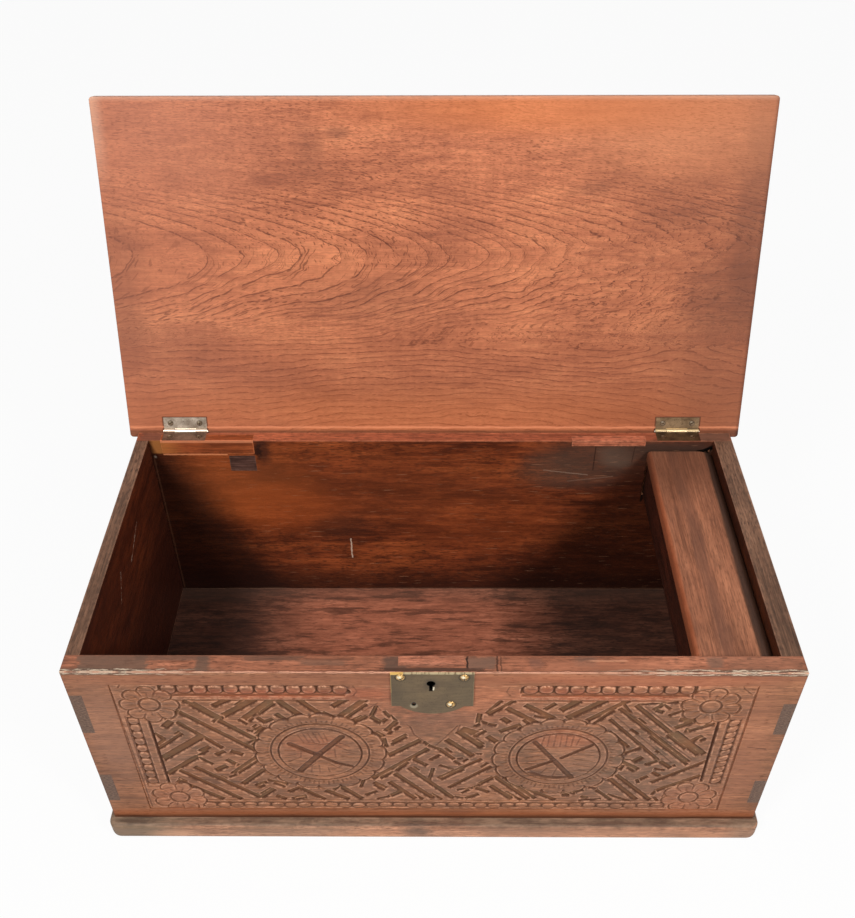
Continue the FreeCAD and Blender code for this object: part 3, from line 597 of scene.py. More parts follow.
def lidFinish():
    look = lidLook
    finish = Finish("lidBoardWood").readPlaces()
    reach, deep = upLid(finish), throughLid(finish)
    across, down = finish.x * look["perMm"] + look["middle"], look["foot"] - reach * look["perMm"]
    noise, step, spot = finish.noise, finish.step, finish.spot
    # the rings' arches, and the flatter rings below them
    wave = noise(across / 260, down / 150, deep / 60, 2.0) - 0.5
    small = noise(across / 52, down / 24, deep / 9 + 4, 3.0, 0.6) - 0.5
    off = down - look["tipRow"] + wave * 40
    bend = (off * off + 400).calc("SQRT")
    knot = spot(across, down, (1560, 560), (120, 150), 0.9)
    swirl = spot(across, down, (1440, 540), (260, 200), 0.8)
    swirl = swirl * (noise(across / 80, down / 26, deep / 9, 3.0, 0.6) - 0.5) * 300
    level = across + off * off * look["bow"] + (bend - 20) * look["lean"]
    level = level + wave * 150 + small * 26 + knot * 160 + swirl
    lowPart = step(down + small * 40, 585, 660)
    hump = spot(across, down, (900, 860), (420, 160), 0.95) * 75
    lowLevel = down - 585 + hump - across * 0.02 + wave * 70 + small * 14 + knot * 60
    mixed = finish.blend(lowPart, level, lowLevel * look["lowSteep"] + 1310)
    tips, span = look["tips"], look["span"]
    last = len(tips) - 1 + (span - tips[-1]) / look["furtherStep"]
    stops = [(tip / span, (number / last,) * 3 + (1,)) for number, tip in enumerate(tips)] + [(1, (1, 1, 1, 1))]
    number = finish.grade(mixed / span, *stops) * last
    turn = number.calc("FRACT")
    lean = off * (2 * look["bow"]) + off / bend * look["lean"]
    steep = finish.blend(lowPart, (lean * lean + 1).calc("SQRT"), look["lowSteep"])
    # each ring's line, its fade and the pores along it
    ringWay, acrossWay, layer = across + down * 0.9, turn * 80 / steep, number.calc("FLOOR") * 3.7
    dashes = noise(ringWay / 15, acrossWay / 9, layer, 1.0)
    calm = step(steep, 3.4, 7.5, 1.0, 0.12)  # close rings read as rows of pores, not as lines
    part = turn / (steep * 0.03)
    line = step(part, 0.0, 0.8) * step(part, 0.9, 2.0, 1.0, 0.0) * step(dashes, 0.38, 0.5) * calm
    fade = step(turn, 0.04, 0.75, 1.0, 0.0) * step(turn, 0.0, 0.04) * calm
    fine = noise(ringWay / 13, acrossWay / 2.6, layer, 0.0)
    finer = noise(across / 9, down / 2.3, deep / 2 + 9, 0.0)
    busy = noise(across / 420, down / 200, 7.0, 2.0)
    sparse = step(turn, 0.1, 0.7, 0.0, 0.05) * calm  # fewer pores away from a ring's line
    pores = step(fine - sparse, 0.60, 0.66) * step(busy, 0.36, 0.6, 0.45, 1.0) * (1 - lowPart * 0.35)
    specks = step(finer, 0.63, 0.70) * step(busy, 0.6, 0.4, 0.3, 0.9) * step(down, 480, 250, 0.5, 1.0)
    pores = pores.calc("MAXIMUM", specks * 0.8)
    cloud = noise(across / 340, down / 130, deep / 90 + 2, 4.0, 0.55)
    streak = noise(across / 130, down / 14, deep / 5, 4.0)
    tone = cloud * 0.6 + streak * 0.4
    colour = finish.grade(tone, (0.34, look["dark"]), (0.5, look["mid"]), (0.66, look["light"]))
    wood = Coat(finish, colour, (tone - 0.5) * 0.2 + 0.43 + pores * 0.15, tone * 0.3 - pores * 0.6 - line * 0.8)
    wood.tint(fade * 0.18, look["line"])
    planed = noise(across / 16, down / 380, 3.0, 3.0, 0.6)  # the plane's marks run across the grain
    wood.shade(step(planed, 0.3, 0.7, 0.95, 1.05))
    fibre = noise(across / 44, down / 3.6, deep / 3 + 6, 2.0, 0.6)
    mottle = noise(across / 17, down / 9, deep / 6 + 1, 3.0, 0.65)
    wood.shade(step(fibre, 0.3, 0.7, 0.88, 1.12) * step(mottle, 0.3, 0.7, 0.91, 1.09))
    wood.tint(pores * 0.68, look["pore"])
    wood.tint(line * 0.8, look["line"])
    # stains, and the light's reach as the photo has it
    ragged = noise(across / 45, down / 45, 1.0, 4.0, 0.65) - 0.5
    for centreX, centreY, reachX, reachY, strength in look["stains"]:
        stain = spot(across + ragged * reachX, down + ragged * reachY, (centreX, centreY), (reachX, reachY), 0.65)
        wood.tint(stain * strength, look["stain"])
    # painted light and painted shade over the lid: the pale, warm and cast areas are painted light, the low and dim
    # areas are painted shade, and a painted highlight runs along the top and left edges
    warm = spot(across, down, (1180, 30), (420, 55), 0.7) * 0.55 + step(down + small * 60, 720, 860) * 0.35
    dim = step(across, 1000, 1734) * 0.34 + spot(across, down, (1700, 850), (150, 150), 0.8) * 0.25
    cast = step(across + wave * 300, 620, 60) * 0.22 + spot(across, down, (90, 60), (300, 170), 0.8) * 0.2
    edgeHighlight = step(down, 14, 0) * 0.25 + step(across, 40, 0) * step(down, 260, 60) * 0.35
    pale, low = spot(across, down, (1560, 70), (320, 130), 0.7) * 0.35, step(down + wave * 200, 560, 700) * 0.28
    for mask, tone in ((pale, "pale"), (warm, "warm"), (low, "low"), (dim, "dim"), (cast, "cast"), (edgeHighlight, "top")):
        wood.tint(mask, look[tone])
    underside = step(deep, -3.0, -2.0)
    for name in ("hinge_left_lid_leaf", "hinge_right_lid_leaf"):  # the dark line of each leaf's bed
        low, high = cornersOf(name)
        top = (high[2] - hinge["z"]) / hinge["up"]
        bed = finish.band(finish.x, low[0] - 1.1, high[0] + 1.1, 0.4) * finish.band(reach, -1.0, top + 1.0, 0.4)
        wood.tint(bed * underside * 0.75, look["leafBed"])
    # a painted highlight along the lid's lower edge
    wood.tint(finish.band(down + small * 8, 889, 895, 2.5) * 0.5, look["tailHighlight"])
    wood.tint(step(across, 1722, 1734) * 0.5 + step(down, 897, 905) * 0.6, look["darkEdge"])
    return wood.close(0.35, 0.0003)


print("wood finishes ready")


# metal

def tarnish(name, tones, rough, grain=1.0, metal=0.9, dullShare=(0.35, 0.6), pits=0.7):
    bright, dull, dark = tones
    finish = Finish(name).readPlaces()
    x, y, z = finish.x, finish.y, finish.z
    cloud = finish.noise(x / 9 * grain, y / 9 * grain, z / 9 * grain, 5.0, 0.62)
    speck = finish.noise(x / 1.1, y / 1.1, z / 1.1, 3.0, 0.6)
    pit = finish.step(speck, 0.56, 0.72)
    rubbed = finish.noise(x / 14, y / 3, z / 2.2, 3.0, 0.6)
    colour = finish.grade(cloud, (dullShare[0], dull), (dullShare[1], bright))
    height = cloud * 0.4 - finish.step(speck, 0.6, 0.74) * 0.5
    coat = Coat(finish, colour, (cloud - 0.5) * 0.25 + rough + pit * 0.2, height, metal)
    coat.tint(pit * pits, dark)
    coat.shade(finish.step(rubbed, 0.3, 0.7, 0.9, 1.08))
    return coat


def closeMetal(coat):
    return coat.close(0.3, 0.0003)


plateSpec = {
    "tones": ((118, 99, 73), (98, 81, 60), (60, 51, 40)),
    "keyhole": (-1.6, 214.0), "keyholeRadius": 3.3, "slotHalf": 1.4, "slotFoot": 204.9,
    "screws": ((-24.2, 221.4), (23.0, 221.4), (13.4, 188.2)), "emptyHole": (-14.6, 188.6),
}


def plateFinish():
    spec = plateSpec
    plate = tarnish("lockPlateBrass", spec["tones"], 0.45, 0.6, 0.65, (0.3, 0.7), 0.3)
    finish = plate.finish
    step, band, spot, stroke = finish.step, finish.band, finish.spot, finish.stroke
    x, z = finish.x, finish.z
    ragged = finish.noise(x / 2.6, z / 2.6, 1.0, 4.0, 0.6) - 0.5
    rubbedEdge = step(finish.edge(*cornersOf("lock_plate")) + ragged, 0.1, 0.7, 1.0, 0.0)
    topLine = step(z + ragged * 1.2, 225.0, 225.6) * step(ragged, -0.12, 0.02)
    corner = stroke(x, z + ragged, (-31, 225.6, -23, 225.6), 2.0, 0.6)
    corner = corner + stroke(x, z, (-31.6, 226, -31.6, 203), 0.9, 0.4) * 0.3
    (keyX, keyZ), half, (emptyX, emptyZ) = spec["keyhole"], spec["slotHalf"], spec["emptyHole"]
    keyhole = spot(x, z, (keyX, keyZ), (spec["keyholeRadius"],) * 2, 0.04)
    keyhole = keyhole + band(x, keyX - half, keyX + half, 0.1) * band(z, spec["slotFoot"], keyZ, 0.2)
    layers = [
        # painted shade darkens the plate towards its left and right sides
        (step(x, -12, -31) * 0.35, (64, 57, 46)), (step(x, 2, 26) * 0.3, (88, 77, 60)),
        (rubbedEdge * 0.45, (150, 130, 96)), (topLine * 0.8, (206, 190, 150)), (corner, (226, 184, 104)),
        # the keyhole is painted near black, as painted shade inside it
        (spot(x, z, (keyX, keyZ - 1), (5.4, 6.4), 0.4) * 0.35, (54, 47, 38)), (keyhole, (5, 4, 3)),
        # a painted reflection on a sliver of metal in the keyhole's slot
        (stroke(x, z, (0.5, 209.4, 0.2, 206.4), 1.1, 0.4) * 0.9, (232, 222, 196)),
        # the empty screw hole: a painted highlight on its lower rim and painted shade inside it
        (spot(x, z, (emptyX, emptyZ - 2), (2.9, 3.2), 0.3) * 0.75, (164, 152, 128)),
        (spot(x, z, (emptyX, emptyZ), (1.9, 2.3), 0.25) * 0.95, (24, 18, 13)),
    ]
    # a painted shadow ring around each screw head
    layers += [(spot(x, z, screw, (4.4, 4.4), 0.12) * 0.6, (44, 36, 26)) for screw in spec["screws"]]
    for mask, tone in layers:
        plate.tint(mask, tone)
    return closeMetal(plate)


screwLook = {"slot": (38, 26, 16), "glint": (255, 244, 214)}


def screwFinish(name, tones, places, axes, radius, slots, rough, spark):
    screw = tarnish(name, tones, rough)
    finish = screw.finish
    u, v = axes(finish)
    for number, (centreU, centreV) in enumerate(places):
        # painted shade in a ring around the edge of each domed head
        rim = finish.spot(u, v, (centreU, centreV), (radius, radius), 0.08)
        inner = finish.spot(u, v, (centreU, centreV), (radius * 0.84, radius * 0.84), 0.12)
        screw.tint((rim - inner).calc("MAXIMUM", 0.0) * 0.7, tones[2])
        for slot in range(slots):
            lean = 0.5 + number * 1.1 + slot * math.pi / 2
            offU, offV = math.cos(lean) * radius * 0.72, math.sin(lean) * radius * 0.72
            line = (centreU - offU, centreV - offV, centreU + offU, centreV + offV)
            screw.tint(finish.stroke(u, v, line, radius * 0.24, 0.15) * 0.85, screwLook["slot"])
        # a painted highlight on each head's upper left
        glintPlace = centreU - radius * 0.25, centreV + radius * 0.45
        glint = finish.spot(u, v, glintPlace, (radius * 0.42, radius * 0.26), 0.5)
        screw.tint(glint * spark, screwLook["glint"])
    return closeMetal(screw)


def hingeBrass(name, tones, rubbed, rough, metal):
    leaf = tarnish(name, tones, rough, 1.0, metal)
    finish = leaf.finish
    offY, offZ = finish.y - hinge["y"], finish.z - hinge["z"]
    far = (offY * offY + offZ * offZ).calc("SQRT")
    upper = finish.step(offZ + offY * 0.3, 0.2, 1.4)  # painted highlight along the knuckles' tops
    leaf.tint(finish.step(far, 2.5, 2.7, 1.0, 0.0) * upper * 0.8, rubbed)
    return closeMetal(leaf)


metalSpec = {  # tones are bright, dull and dark
    "screwXs": (-245.0, -218.0, 213.0, 240.0), "caseScrewY": 131.2, "lidScrewReach": 7.85,
    "leaves": (  # node, material, tones, tone of the painted highlight on the knuckles, roughness, metal
        # each case leaf takes darker tones than its lid leaf, as painted shade
        ("hinge_left_lid_leaf", "leftHingeLidBrass", ((204, 188, 170), (156, 138, 120), (80, 64, 50)),
         (240, 230, 214), 0.36, 0.8),
        ("hinge_left_case_leaf", "leftHingeCaseBrass", ((132, 104, 86), (92, 70, 58), (44, 32, 26)),
         (232, 216, 196), 0.45, 0.7),
        ("hinge_right_lid_leaf", "rightHingeLidBrass", ((148, 122, 92), (106, 84, 61), (56, 43, 31)),
         (226, 202, 158), 0.4, 0.8),
        ("hinge_right_case_leaf", "rightHingeCaseBrass", ((100, 78, 54), (70, 52, 36), (34, 25, 18)),
         (204, 180, 138), 0.45, 0.7),
    ),
    "pins": ((236, 230, 216), (176, 166, 150), (70, 60, 50)), "iron": ((92, 84, 78), (56, 50, 46), (26, 22, 20)),
    "lockScrews": ((222, 182, 118), (176, 136, 84), (84, 60, 34)),
    "caseScrews": ((128, 104, 84), (96, 76, 60), (46, 33, 25)),
    "lidScrews": ((140, 120, 98), (104, 84, 66), (46, 34, 25)),
}


def metalFinishes():
    spec = metalSpec
    for name, *look in spec["leaves"]:
        dress(name, hingeBrass(*look))
    for names, material, tones, rough in (
            (("hinge_left_pin", "hinge_right_pin"), "hingePinSteel", spec["pins"], 0.3),
            (("lock_case", "lock_bolt", "lock_spring", "base_nails"), "darkIron", spec["iron"], 0.5)):
        made = closeMetal(tarnish(material, tones, rough))
        for name in names:
            dress(name, made)
    plans = (  # the screws' places, as read along two ways
        ("lock_screws", "lockScrews", plateSpec["screws"], lambda finish: (finish.x, finish.z), 3.5, 2, 0.3, 0.8),
        ("hinge_case_screws", "caseScrews", [(x, spec["caseScrewY"]) for x in spec["screwXs"]],
         lambda finish: (finish.x, finish.y), 2.7, 1, 0.4, 0.25),
        ("hinge_lid_screws", "lidScrews", [(x, spec["lidScrewReach"]) for x in spec["screwXs"]],
         lambda finish: (finish.x, upLid(finish)), 2.7, 1, 0.4, 0.25),
    )
    for name, tones, *look in plans:
        dress(name, screwFinish(tones[:-1] + "Brass", spec[tones], *look))
    dress("lock_plate", plateFinish())


print("metal finishes ready")


# what the carver cut, in mm on the front face: x, height

panelSpec = {
    "halves": (("carved_panel_left", -242.5, 0.0), ("carved_panel_right", 0.0, 242.5)),
    "low": 35.5, "high": 210.5, "face": caseFaces["front"], "step": 0.68,
    "plain": 0.42, "fretFloor": 2.12, "wall": 0.9, "back": 2.5, "sharpFrom": 40,
    "field": (-220.5, 220.5, 46.5, 191.5),
    "roundels": ((-90.6, 120.0), (100.5, 114.0)),
    "rosettes": ((-216.1, 184.6), (211.0, 183.6), (-214.1, 53.2), (214.6, 54.8)),
    "plate": (-31.6, 30.4, 176.4), "punch": (3, 162),
}
fret = (  # start, end and width of each cut
    (-203, 163, -210, 154.5, 6), (-219.5, 146.5, -212.5, 138.5, 4), (-219.5, 130, -212, 138, 4),
    (-220.5, 124, -197, 146.5, 3), (-219, 110.5, -183, 142, 7), (-219, 88, -190, 114, 5),
    (-189, 113, -179, 103, 3), (-194.5, 99, -145, 52.5, 4.5), (-207.5, 94, -162, 50, 4.5),
    (-212, 78.5, -177, 50, 5), (-195, 175, -142, 123, 4.5), (-184, 186, -166, 167, 7), (-166, 164, -141, 139, 5),
    (-199, 162, -168, 126.5, 4), (-187, 121.5, -178, 128.5, 4.5), (-175, 116.5, -167, 122, 4),
    (-162, 122, -153, 117, 5), (-167, 110, -160, 103, 4.5), (-178, 94, -168, 101, 5), (-165, 89, -142.5, 113, 4),
    (-158.5, 73.5, -138, 95.5, 4.5), (-147.5, 71.5, -138, 77, 4), (-146, 52, -132.5, 66, 4),
    (-132, 56, -124, 50, 4.5), (-121, 62, -111, 68.5, 4), (-119, 51.5, -107, 56, 3.5), (-110, 67, -91, 50, 4),
    (-90, 64, -71, 50, 5), (-76, 69, -60, 51, 5), (-137, 80, -121, 73, 4), (-168, 183, -154.5, 191.5, 5),
    (-162, 170, -135, 191.5, 6), (-147, 165, -122, 191.5, 6), (-136, 168, -130, 161, 4), (-131, 162, -124, 166, 4),
    (-140, 146, -131, 155, 2.5), (-118, 190, -101, 169, 6), (-121, 173, -111, 161, 4.5), (-102, 191, -85, 170, 5),
    (-77, 182.5, -66.5, 191.5, 5), (-72.5, 169, -50, 193, 5.5), (-62, 161, -51, 170, 4),
    (-48, 169, -40, 161.5, 4.5), (-40, 162, -36, 166.5, 3.5), (-28.5, 163, -37, 150, 4.5),
    (-33, 172, -28, 163, 1.5), (-49, 149, -41, 141, 4), (-32, 136, -21, 146, 3), (-36, 116, -10, 138, 5),
    (-50, 82, -4, 126, 4.5), (-16, 111, -5, 102, 4), (-20, 98.5, 17, 52, 4.5), (-31.5, 90, 0, 52, 4.5),
    (-36.5, 77.5, -15, 51, 4.5), (-36, 56, -27, 62.5, 5), (-49, 77, -39, 68, 4), (-57, 57, -47, 63, 3.5),
    (19, 150, 39, 128, 5), (10.5, 139, 32, 115.5, 5), (6, 124, 17, 111, 3.5), (4, 83.5, 39, 111.5, 3.5),
    (13, 69, 47, 101, 3.5), (38, 74, 49.5, 85, 4.5), (20, 65.5, 33, 68.5, 3), (35.5, 68, 46.5, 62, 4),
    (18, 55, 25, 52, 3), (27, 52, 38, 59, 4), (47.5, 72, 66, 51.5, 4.5), (50, 86, 80, 51, 4),
    (66, 74, 86, 52, 3.5), (83, 63, 103, 50, 4.5), (63.5, 192.5, 42.5, 172, 3.5), (36, 174, 34.5, 161, 3.5),
    (53, 168, 59, 162, 5), (43, 160, 49, 158, 3.5), (52, 150, 68, 159, 5), (42.5, 143.5, 50.5, 135, 5),
    (32, 142, 41, 151, 3), (22, 153, 34, 147, 8), (56, 181, 82, 160, 5), (70, 185, 93, 167.5, 5),
    (85, 179, 93, 187, 4), (97.5, 178, 111, 191, 6), (103, 168, 131, 191.5, 6), (119, 165, 148, 191, 5),
    (136, 167, 181, 111, 3), (142, 181, 206, 108, 3.5), (154, 185, 212, 118, 4), (168, 179, 175, 185.5, 4),
    (175, 185.5, 181, 180, 2.5), (170, 178, 176, 176, 4), (181, 172, 191, 178, 3.5), (190, 166, 203, 165, 6),
    (188, 155, 200, 163, 5), (189, 150, 217, 119, 5), (199, 151, 218, 161, 4), (203, 137, 211, 144.5, 5),
    (180, 77.5, 220, 109, 4), (186, 65, 219, 88, 5), (153, 120, 166, 129, 3.5), (161, 108, 168, 115, 5),
    (152, 108, 167, 97, 4.5), (172, 104, 181, 109, 4), (183, 109, 193, 99, 4), (180, 98, 188, 96, 3),
    (179, 93, 186, 87, 3.5), (170, 82, 176, 87, 4), (150, 89, 183, 50, 4), (145, 83, 171, 51, 4.5),
    (136, 66, 150, 50, 3), (114, 70, 117, 62, 5), (117, 62, 125, 66, 4), (108, 58, 114, 57, 3),
    (124, 56, 130, 53, 3.5), (-190, 189, -184, 185.5, 4), (-199, 170.5, -195.5, 178, 2.5),
    (-208, 165.6, -202.5, 167.4, 2.6), (-171, 162.3, -162, 168.8, 2.6), (-190.5, 114.6, -180.5, 122.3, 2.4),
    (-160, 89.6, -140.8, 109, 2.4), (-175, 86.2, -170.6, 81.8, 2.4), (-168, 84, -162, 87.5, 2.4),
    (-210, 82.5, -204.5, 77.3, 2.6), (-203, 145, -199, 149, 2.2), (-159.5, 99.8, -157.8, 103.5, 2),
    (-150.5, 184.3, -143.5, 191, 2.4), (-150.5, 165.7, -144.6, 158.9, 2.6), (-143, 162.3, -138.7, 167.5, 2.4),
    (-140.5, 154.9, -137, 158.5, 2.2), (-140.3, 150.5, -133.5, 156.5, 2.6), (-139.7, 142.2, -132.8, 148, 2.2),
    (-146, 151.5, -141, 149.1, 2.4), (-148.5, 133.1, -138, 138.3, 2.4), (-144.4, 129.2, -140.9, 133.7, 2.4),
    (-134.5, 171.7, -120.6, 186.4, 2.6), (-132.5, 74.7, -123.5, 69.5, 2.6), (-145.5, 68.1, -140.2, 72.2, 2.2),
    (-144.8, 58.5, -135.5, 67.6, 2.4), (-116.2, 49.3, -107, 52.4, 2.2), (-83.8, 64, -76.3, 71.4, 2.6),
    (-84.6, 175.4, -73, 166.6, 2.8), (-66.6, 167.8, -50.4, 185.7, 2.8), (-65.2, 162.8, -55.1, 170.6, 2.4),
    (-47.8, 169.7, -43.2, 183.4, 3), (-51.7, 155.3, -48.4, 150.8, 2.8), (-44.8, 149.4, -38.4, 143.6, 2.8),
    (-37.9, 176.9, -33.2, 168.6, 2.8), (-39, 141, -37, 128, 2.8), (-33.1, 131.8, -21, 142.3, 2.8),
    (-30.3, 152, -25.8, 156.8, 2.6), (-35.4, 146.1, -32, 150, 2.2), (-40.6, 125.1, -36.2, 119.2, 2.6),
    (-30.6, 93.5, -20.1, 106.5, 2.8), (-43.5, 82.6, -32.4, 92.5, 2.8), (-60.5, 69, -57, 80.5, 2.4),
    (-48.9, 72.4, -40.9, 64.8, 2.6), (-47.4, 50.8, -36.8, 55.3, 2.8), (-16.3, 100.4, -11.8, 95, 2.2),
    (-16, 58.7, -8.6, 50.6, 2.8), (-1.6, 59.6, 7.6, 50.3, 2.6), (-7.4, 136.1, -3.9, 131, 2.6),
    (-3.7, 130.7, 6.6, 124.6, 3.4), (-2.8, 110.1, 5.3, 117.6, 2.8), (5.1, 102.5, 16.1, 96.5, 3),
    (-3.4, 80.2, 0.2, 98.5, 2.6), (6.3, 80.9, 24.9, 96.3, 2.8), (9.3, 127.5, 14.4, 121, 2.4),
    (16.8, 108.7, 21.8, 103.5, 2.6), (24, 107.5, 28.1, 111.3, 2.4), (19.2, 111.8, 23.7, 113.1, 2.2),
    (40.8, 173.6, 52, 190.7, 3), (37.3, 163.6, 42.1, 160.7, 2.8), (32, 157, 36.1, 160, 2.4),
    (35.2, 152.1, 38.7, 153.1, 2.2), (33.3, 139.7, 39.8, 132.8, 2.8), (32.6, 120.1, 38.9, 118.8, 2.2),
    (39.3, 99.8, 44, 106, 2.8), (33.2, 69.3, 38.5, 73.2, 2.6), (23.7, 60.6, 30, 65.3, 2.6),
    (57, 87.2, 65.5, 72.5, 2.8), (60.4, 62.9, 74, 49.5, 2.8), (69.6, 74, 83.1, 61.3, 2.6),
    (69.5, 165.7, 77.3, 155.9, 2.8), (66, 152.3, 68.6, 155.1, 2.2), (77.6, 170.7, 103.3, 162.5, 2.8),
    (110.1, 165.7, 116.6, 161.9, 2.6), (120.3, 156, 138.3, 178.1, 2.8), (144.8, 185.4, 151, 174.9, 2.6),
    (137.3, 150.7, 155, 128.8, 3), (148.3, 128.4, 153.1, 123.4, 2.4), (153.8, 153.8, 160.4, 146.7, 2.4),
    (152.2, 95.8, 154.5, 102.7, 2.6), (146.5, 86.4, 148.1, 93.7, 2.6), (153.5, 111.4, 159.3, 111.4, 2.2),
    (107, 60.7, 118.7, 59.5, 2.2), (122.8, 49.2, 141.1, 52.3, 2.6), (129.3, 69, 136.5, 68.7, 2.2),
    (155.2, 185.8, 185.6, 188.4, 2.4), (157.7, 168.2, 164.7, 160.2, 2.4), (183.2, 146, 200.7, 126.3, 2.8),
    (169.9, 144.2, 205.6, 104.1, 2.8), (177.4, 124, 180.4, 121, 2.2), (198, 155.5, 197, 149.6, 2.4),
    (204.1, 163.7, 213, 160.8, 2.8), (210.4, 137.8, 214.4, 141.5, 2.4), (194.3, 104.2, 195.7, 101.2, 2.2),
    (167.7, 82.3, 169.5, 76.9, 2.4), (146.2, 59.2, 166.1, 47.8, 2.8), (183, 58.6, 185.4, 64.5, 2.4),
    (185.4, 54.7, 189.6, 48.6, 2.6), (157.7, 99.8, 163.8, 93.9, 2.4),
)


def soften(low, high, value):
    share = np.clip((value - low) / (high - low), 0, 1)
    return share * share * (3 - 2 * share)


def lineGap(x, z, line):
    startX, startZ, endX, endZ = line
    stepX, stepZ = endX - startX, endZ - startZ
    share = np.clip(((x - startX) * stepX + (z - startZ) * stepZ) / (stepX ** 2 + stepZ ** 2), 0, 1)
    return np.hypot(x - startX - share * stepX, z - startZ - share * stepZ)


def scored(x, z, lines, width):  # a V cut along each line, 1 at its bottom
    cut = np.zeros_like(x)
    for line in lines:
        cut = np.maximum(cut, 1 - np.clip(lineGap(x, z, line) / (width / 2), 0, 1))
    return cut


def inset(x, z, left, right, low, high):  # distance inside a rectangle, below nothing outside it
    return np.minimum(np.minimum(x - left, right - x), np.minimum(z - low, high - z))


def ridge(gap, width):  # 1 where a distance is nothing, 0 from half a width on
    return 1 - soften(width * 0.15, width * 0.5, np.abs(gap))


class Carving:  # one value of each kind per point of the face
    def __init__(self, x, z):
        self.x, self.z = x, z
        self.depth = np.full_like(x, panelSpec["plain"])
        self.ink = np.zeros_like(x)  # dirt in scored lines
        self.pale = np.zeros_like(x)  # painted highlights on bead tops, ring tops and bar edges
        self.tone = np.full_like(x, 0.5)

    def lower(self, depth):
        self.depth = np.maximum(self.depth, depth)

    def blend(self, depth, mask):
        self.depth = self.depth + (depth - self.depth) * mask

    def stain(self, mask):
        self.ink = np.maximum(self.ink, mask)

    def clear(self, mask):  # a raised form covers what lies under it
        self.ink = self.ink * (1 - mask)


def fretCuts(x, z):
    cut = np.zeros_like(x)
    for startX, startZ, endX, endZ, width in fret:
        size = math.hypot(endX - startX, endZ - startZ)
        alongX, alongZ = (endX - startX) / size, (endZ - startZ) / size
        offX, offZ = x - (startX + endX) / 2, z - (startZ + endZ) / 2
        along = np.abs(offX * alongX + offZ * alongZ) - size / 2
        side = np.abs(offX * -alongZ + offZ * alongX) - width / 2
        cut = np.maximum(cut, 1 - soften(-panelSpec["wall"], 0.5, np.maximum(along, side) - 0.25))
    left, right, low, high = panelSpec["field"]
    inside = soften(0, 1.2, inset(x, z, left, right, low, high))
    return cut * inside


roundelSpec = {
    "edge": 52.5, "lobes": 17, "lobeDip": 3.0, "gouges": 68, "rings": (39.4, 33.2),
    "hoop": 36.3, "hoopHalf": 2.9, "middle": 33, "crescent": 29.6,
    "arms": (  # from and to, out from the middle, and width
        ((-17.4, -25, -0.4, -1, 5.4), (-0.4, -1, 18.6, 23, 5.0), (-23.4, 13, -4.4, -1, 4.6),
         (-4.4, -1, 12.6, -14, 3.2), (12.6, -14, 24.6, -19, 2.8)),
        ((-20, 22, -3.5, -3, 4.0), (-3.5, -3, 13.5, -30, 4.6), (2.5, 0, 25.5, 18, 3.2),
         (-24.5, -17, -3.5, -4, 3.6)),
    ),
    "hatch": (
        (
            (-16, 25, -12, 15), (-12, 27, -8, 15), (-8, 27, -3.5, 14), (-4, 28, 0.5, 15), (0.5, 28, 4, 16),
            (4.5, 27, 7, 17), (-20, -2, -27, -4), (-20, 4, -28, 4), (18, 2, 27, 0), (17, -4, 27, -6),
            (-8, -19, -9, -27), (-2, -18, -2, -28), (5, -20, 6, -27), (12, 12, 22, 4), (14, 16, 24, 9),
            (-12, -22, -4, -14), (-4, -14, 6, -14), (6, -14, 14, -22), (-26, -12, -16, -6), (-16, -6, -15, 3),
            (-15, 3, -24, 10), (12, -6, 12, 6), (8, 14, 2, 12), (2, 12, -8, 16), (10, -24, 16, -18),
            (20, 12, 26, 14),
        ),
        (
            (-15, 16, -13, 29), (-10, 16, -9, 31), (-5, 16, -4, 32), (0, 16, 0.5, 32), (4.5, 17, 5, 32),
            (9, 17, 10, 30), (13, 18, 15, 27), (-14, 9, -24, 7), (-13, 3, -26, 1), (-12, -3, -25, -6),
            (14, -2, 28, -5), (13, -9, 26, -13), (12, 4, 29, 3), (-8, -15, -14, -24), (0, -15, -3, -27),
            (10, -19, 22, -18), (-17, 15.5, 18, 14.5), (-9, 12, -28, 12), (-28, -8, -14, -9), (14, 9, 28, 8),
            (16, -16, 26, -20), (-22, -18, -12, -26), (-12, -26, 4, -29), (-20, -13, -8, -9), (-8, -9, -6, -3),
        ),
    ),
}


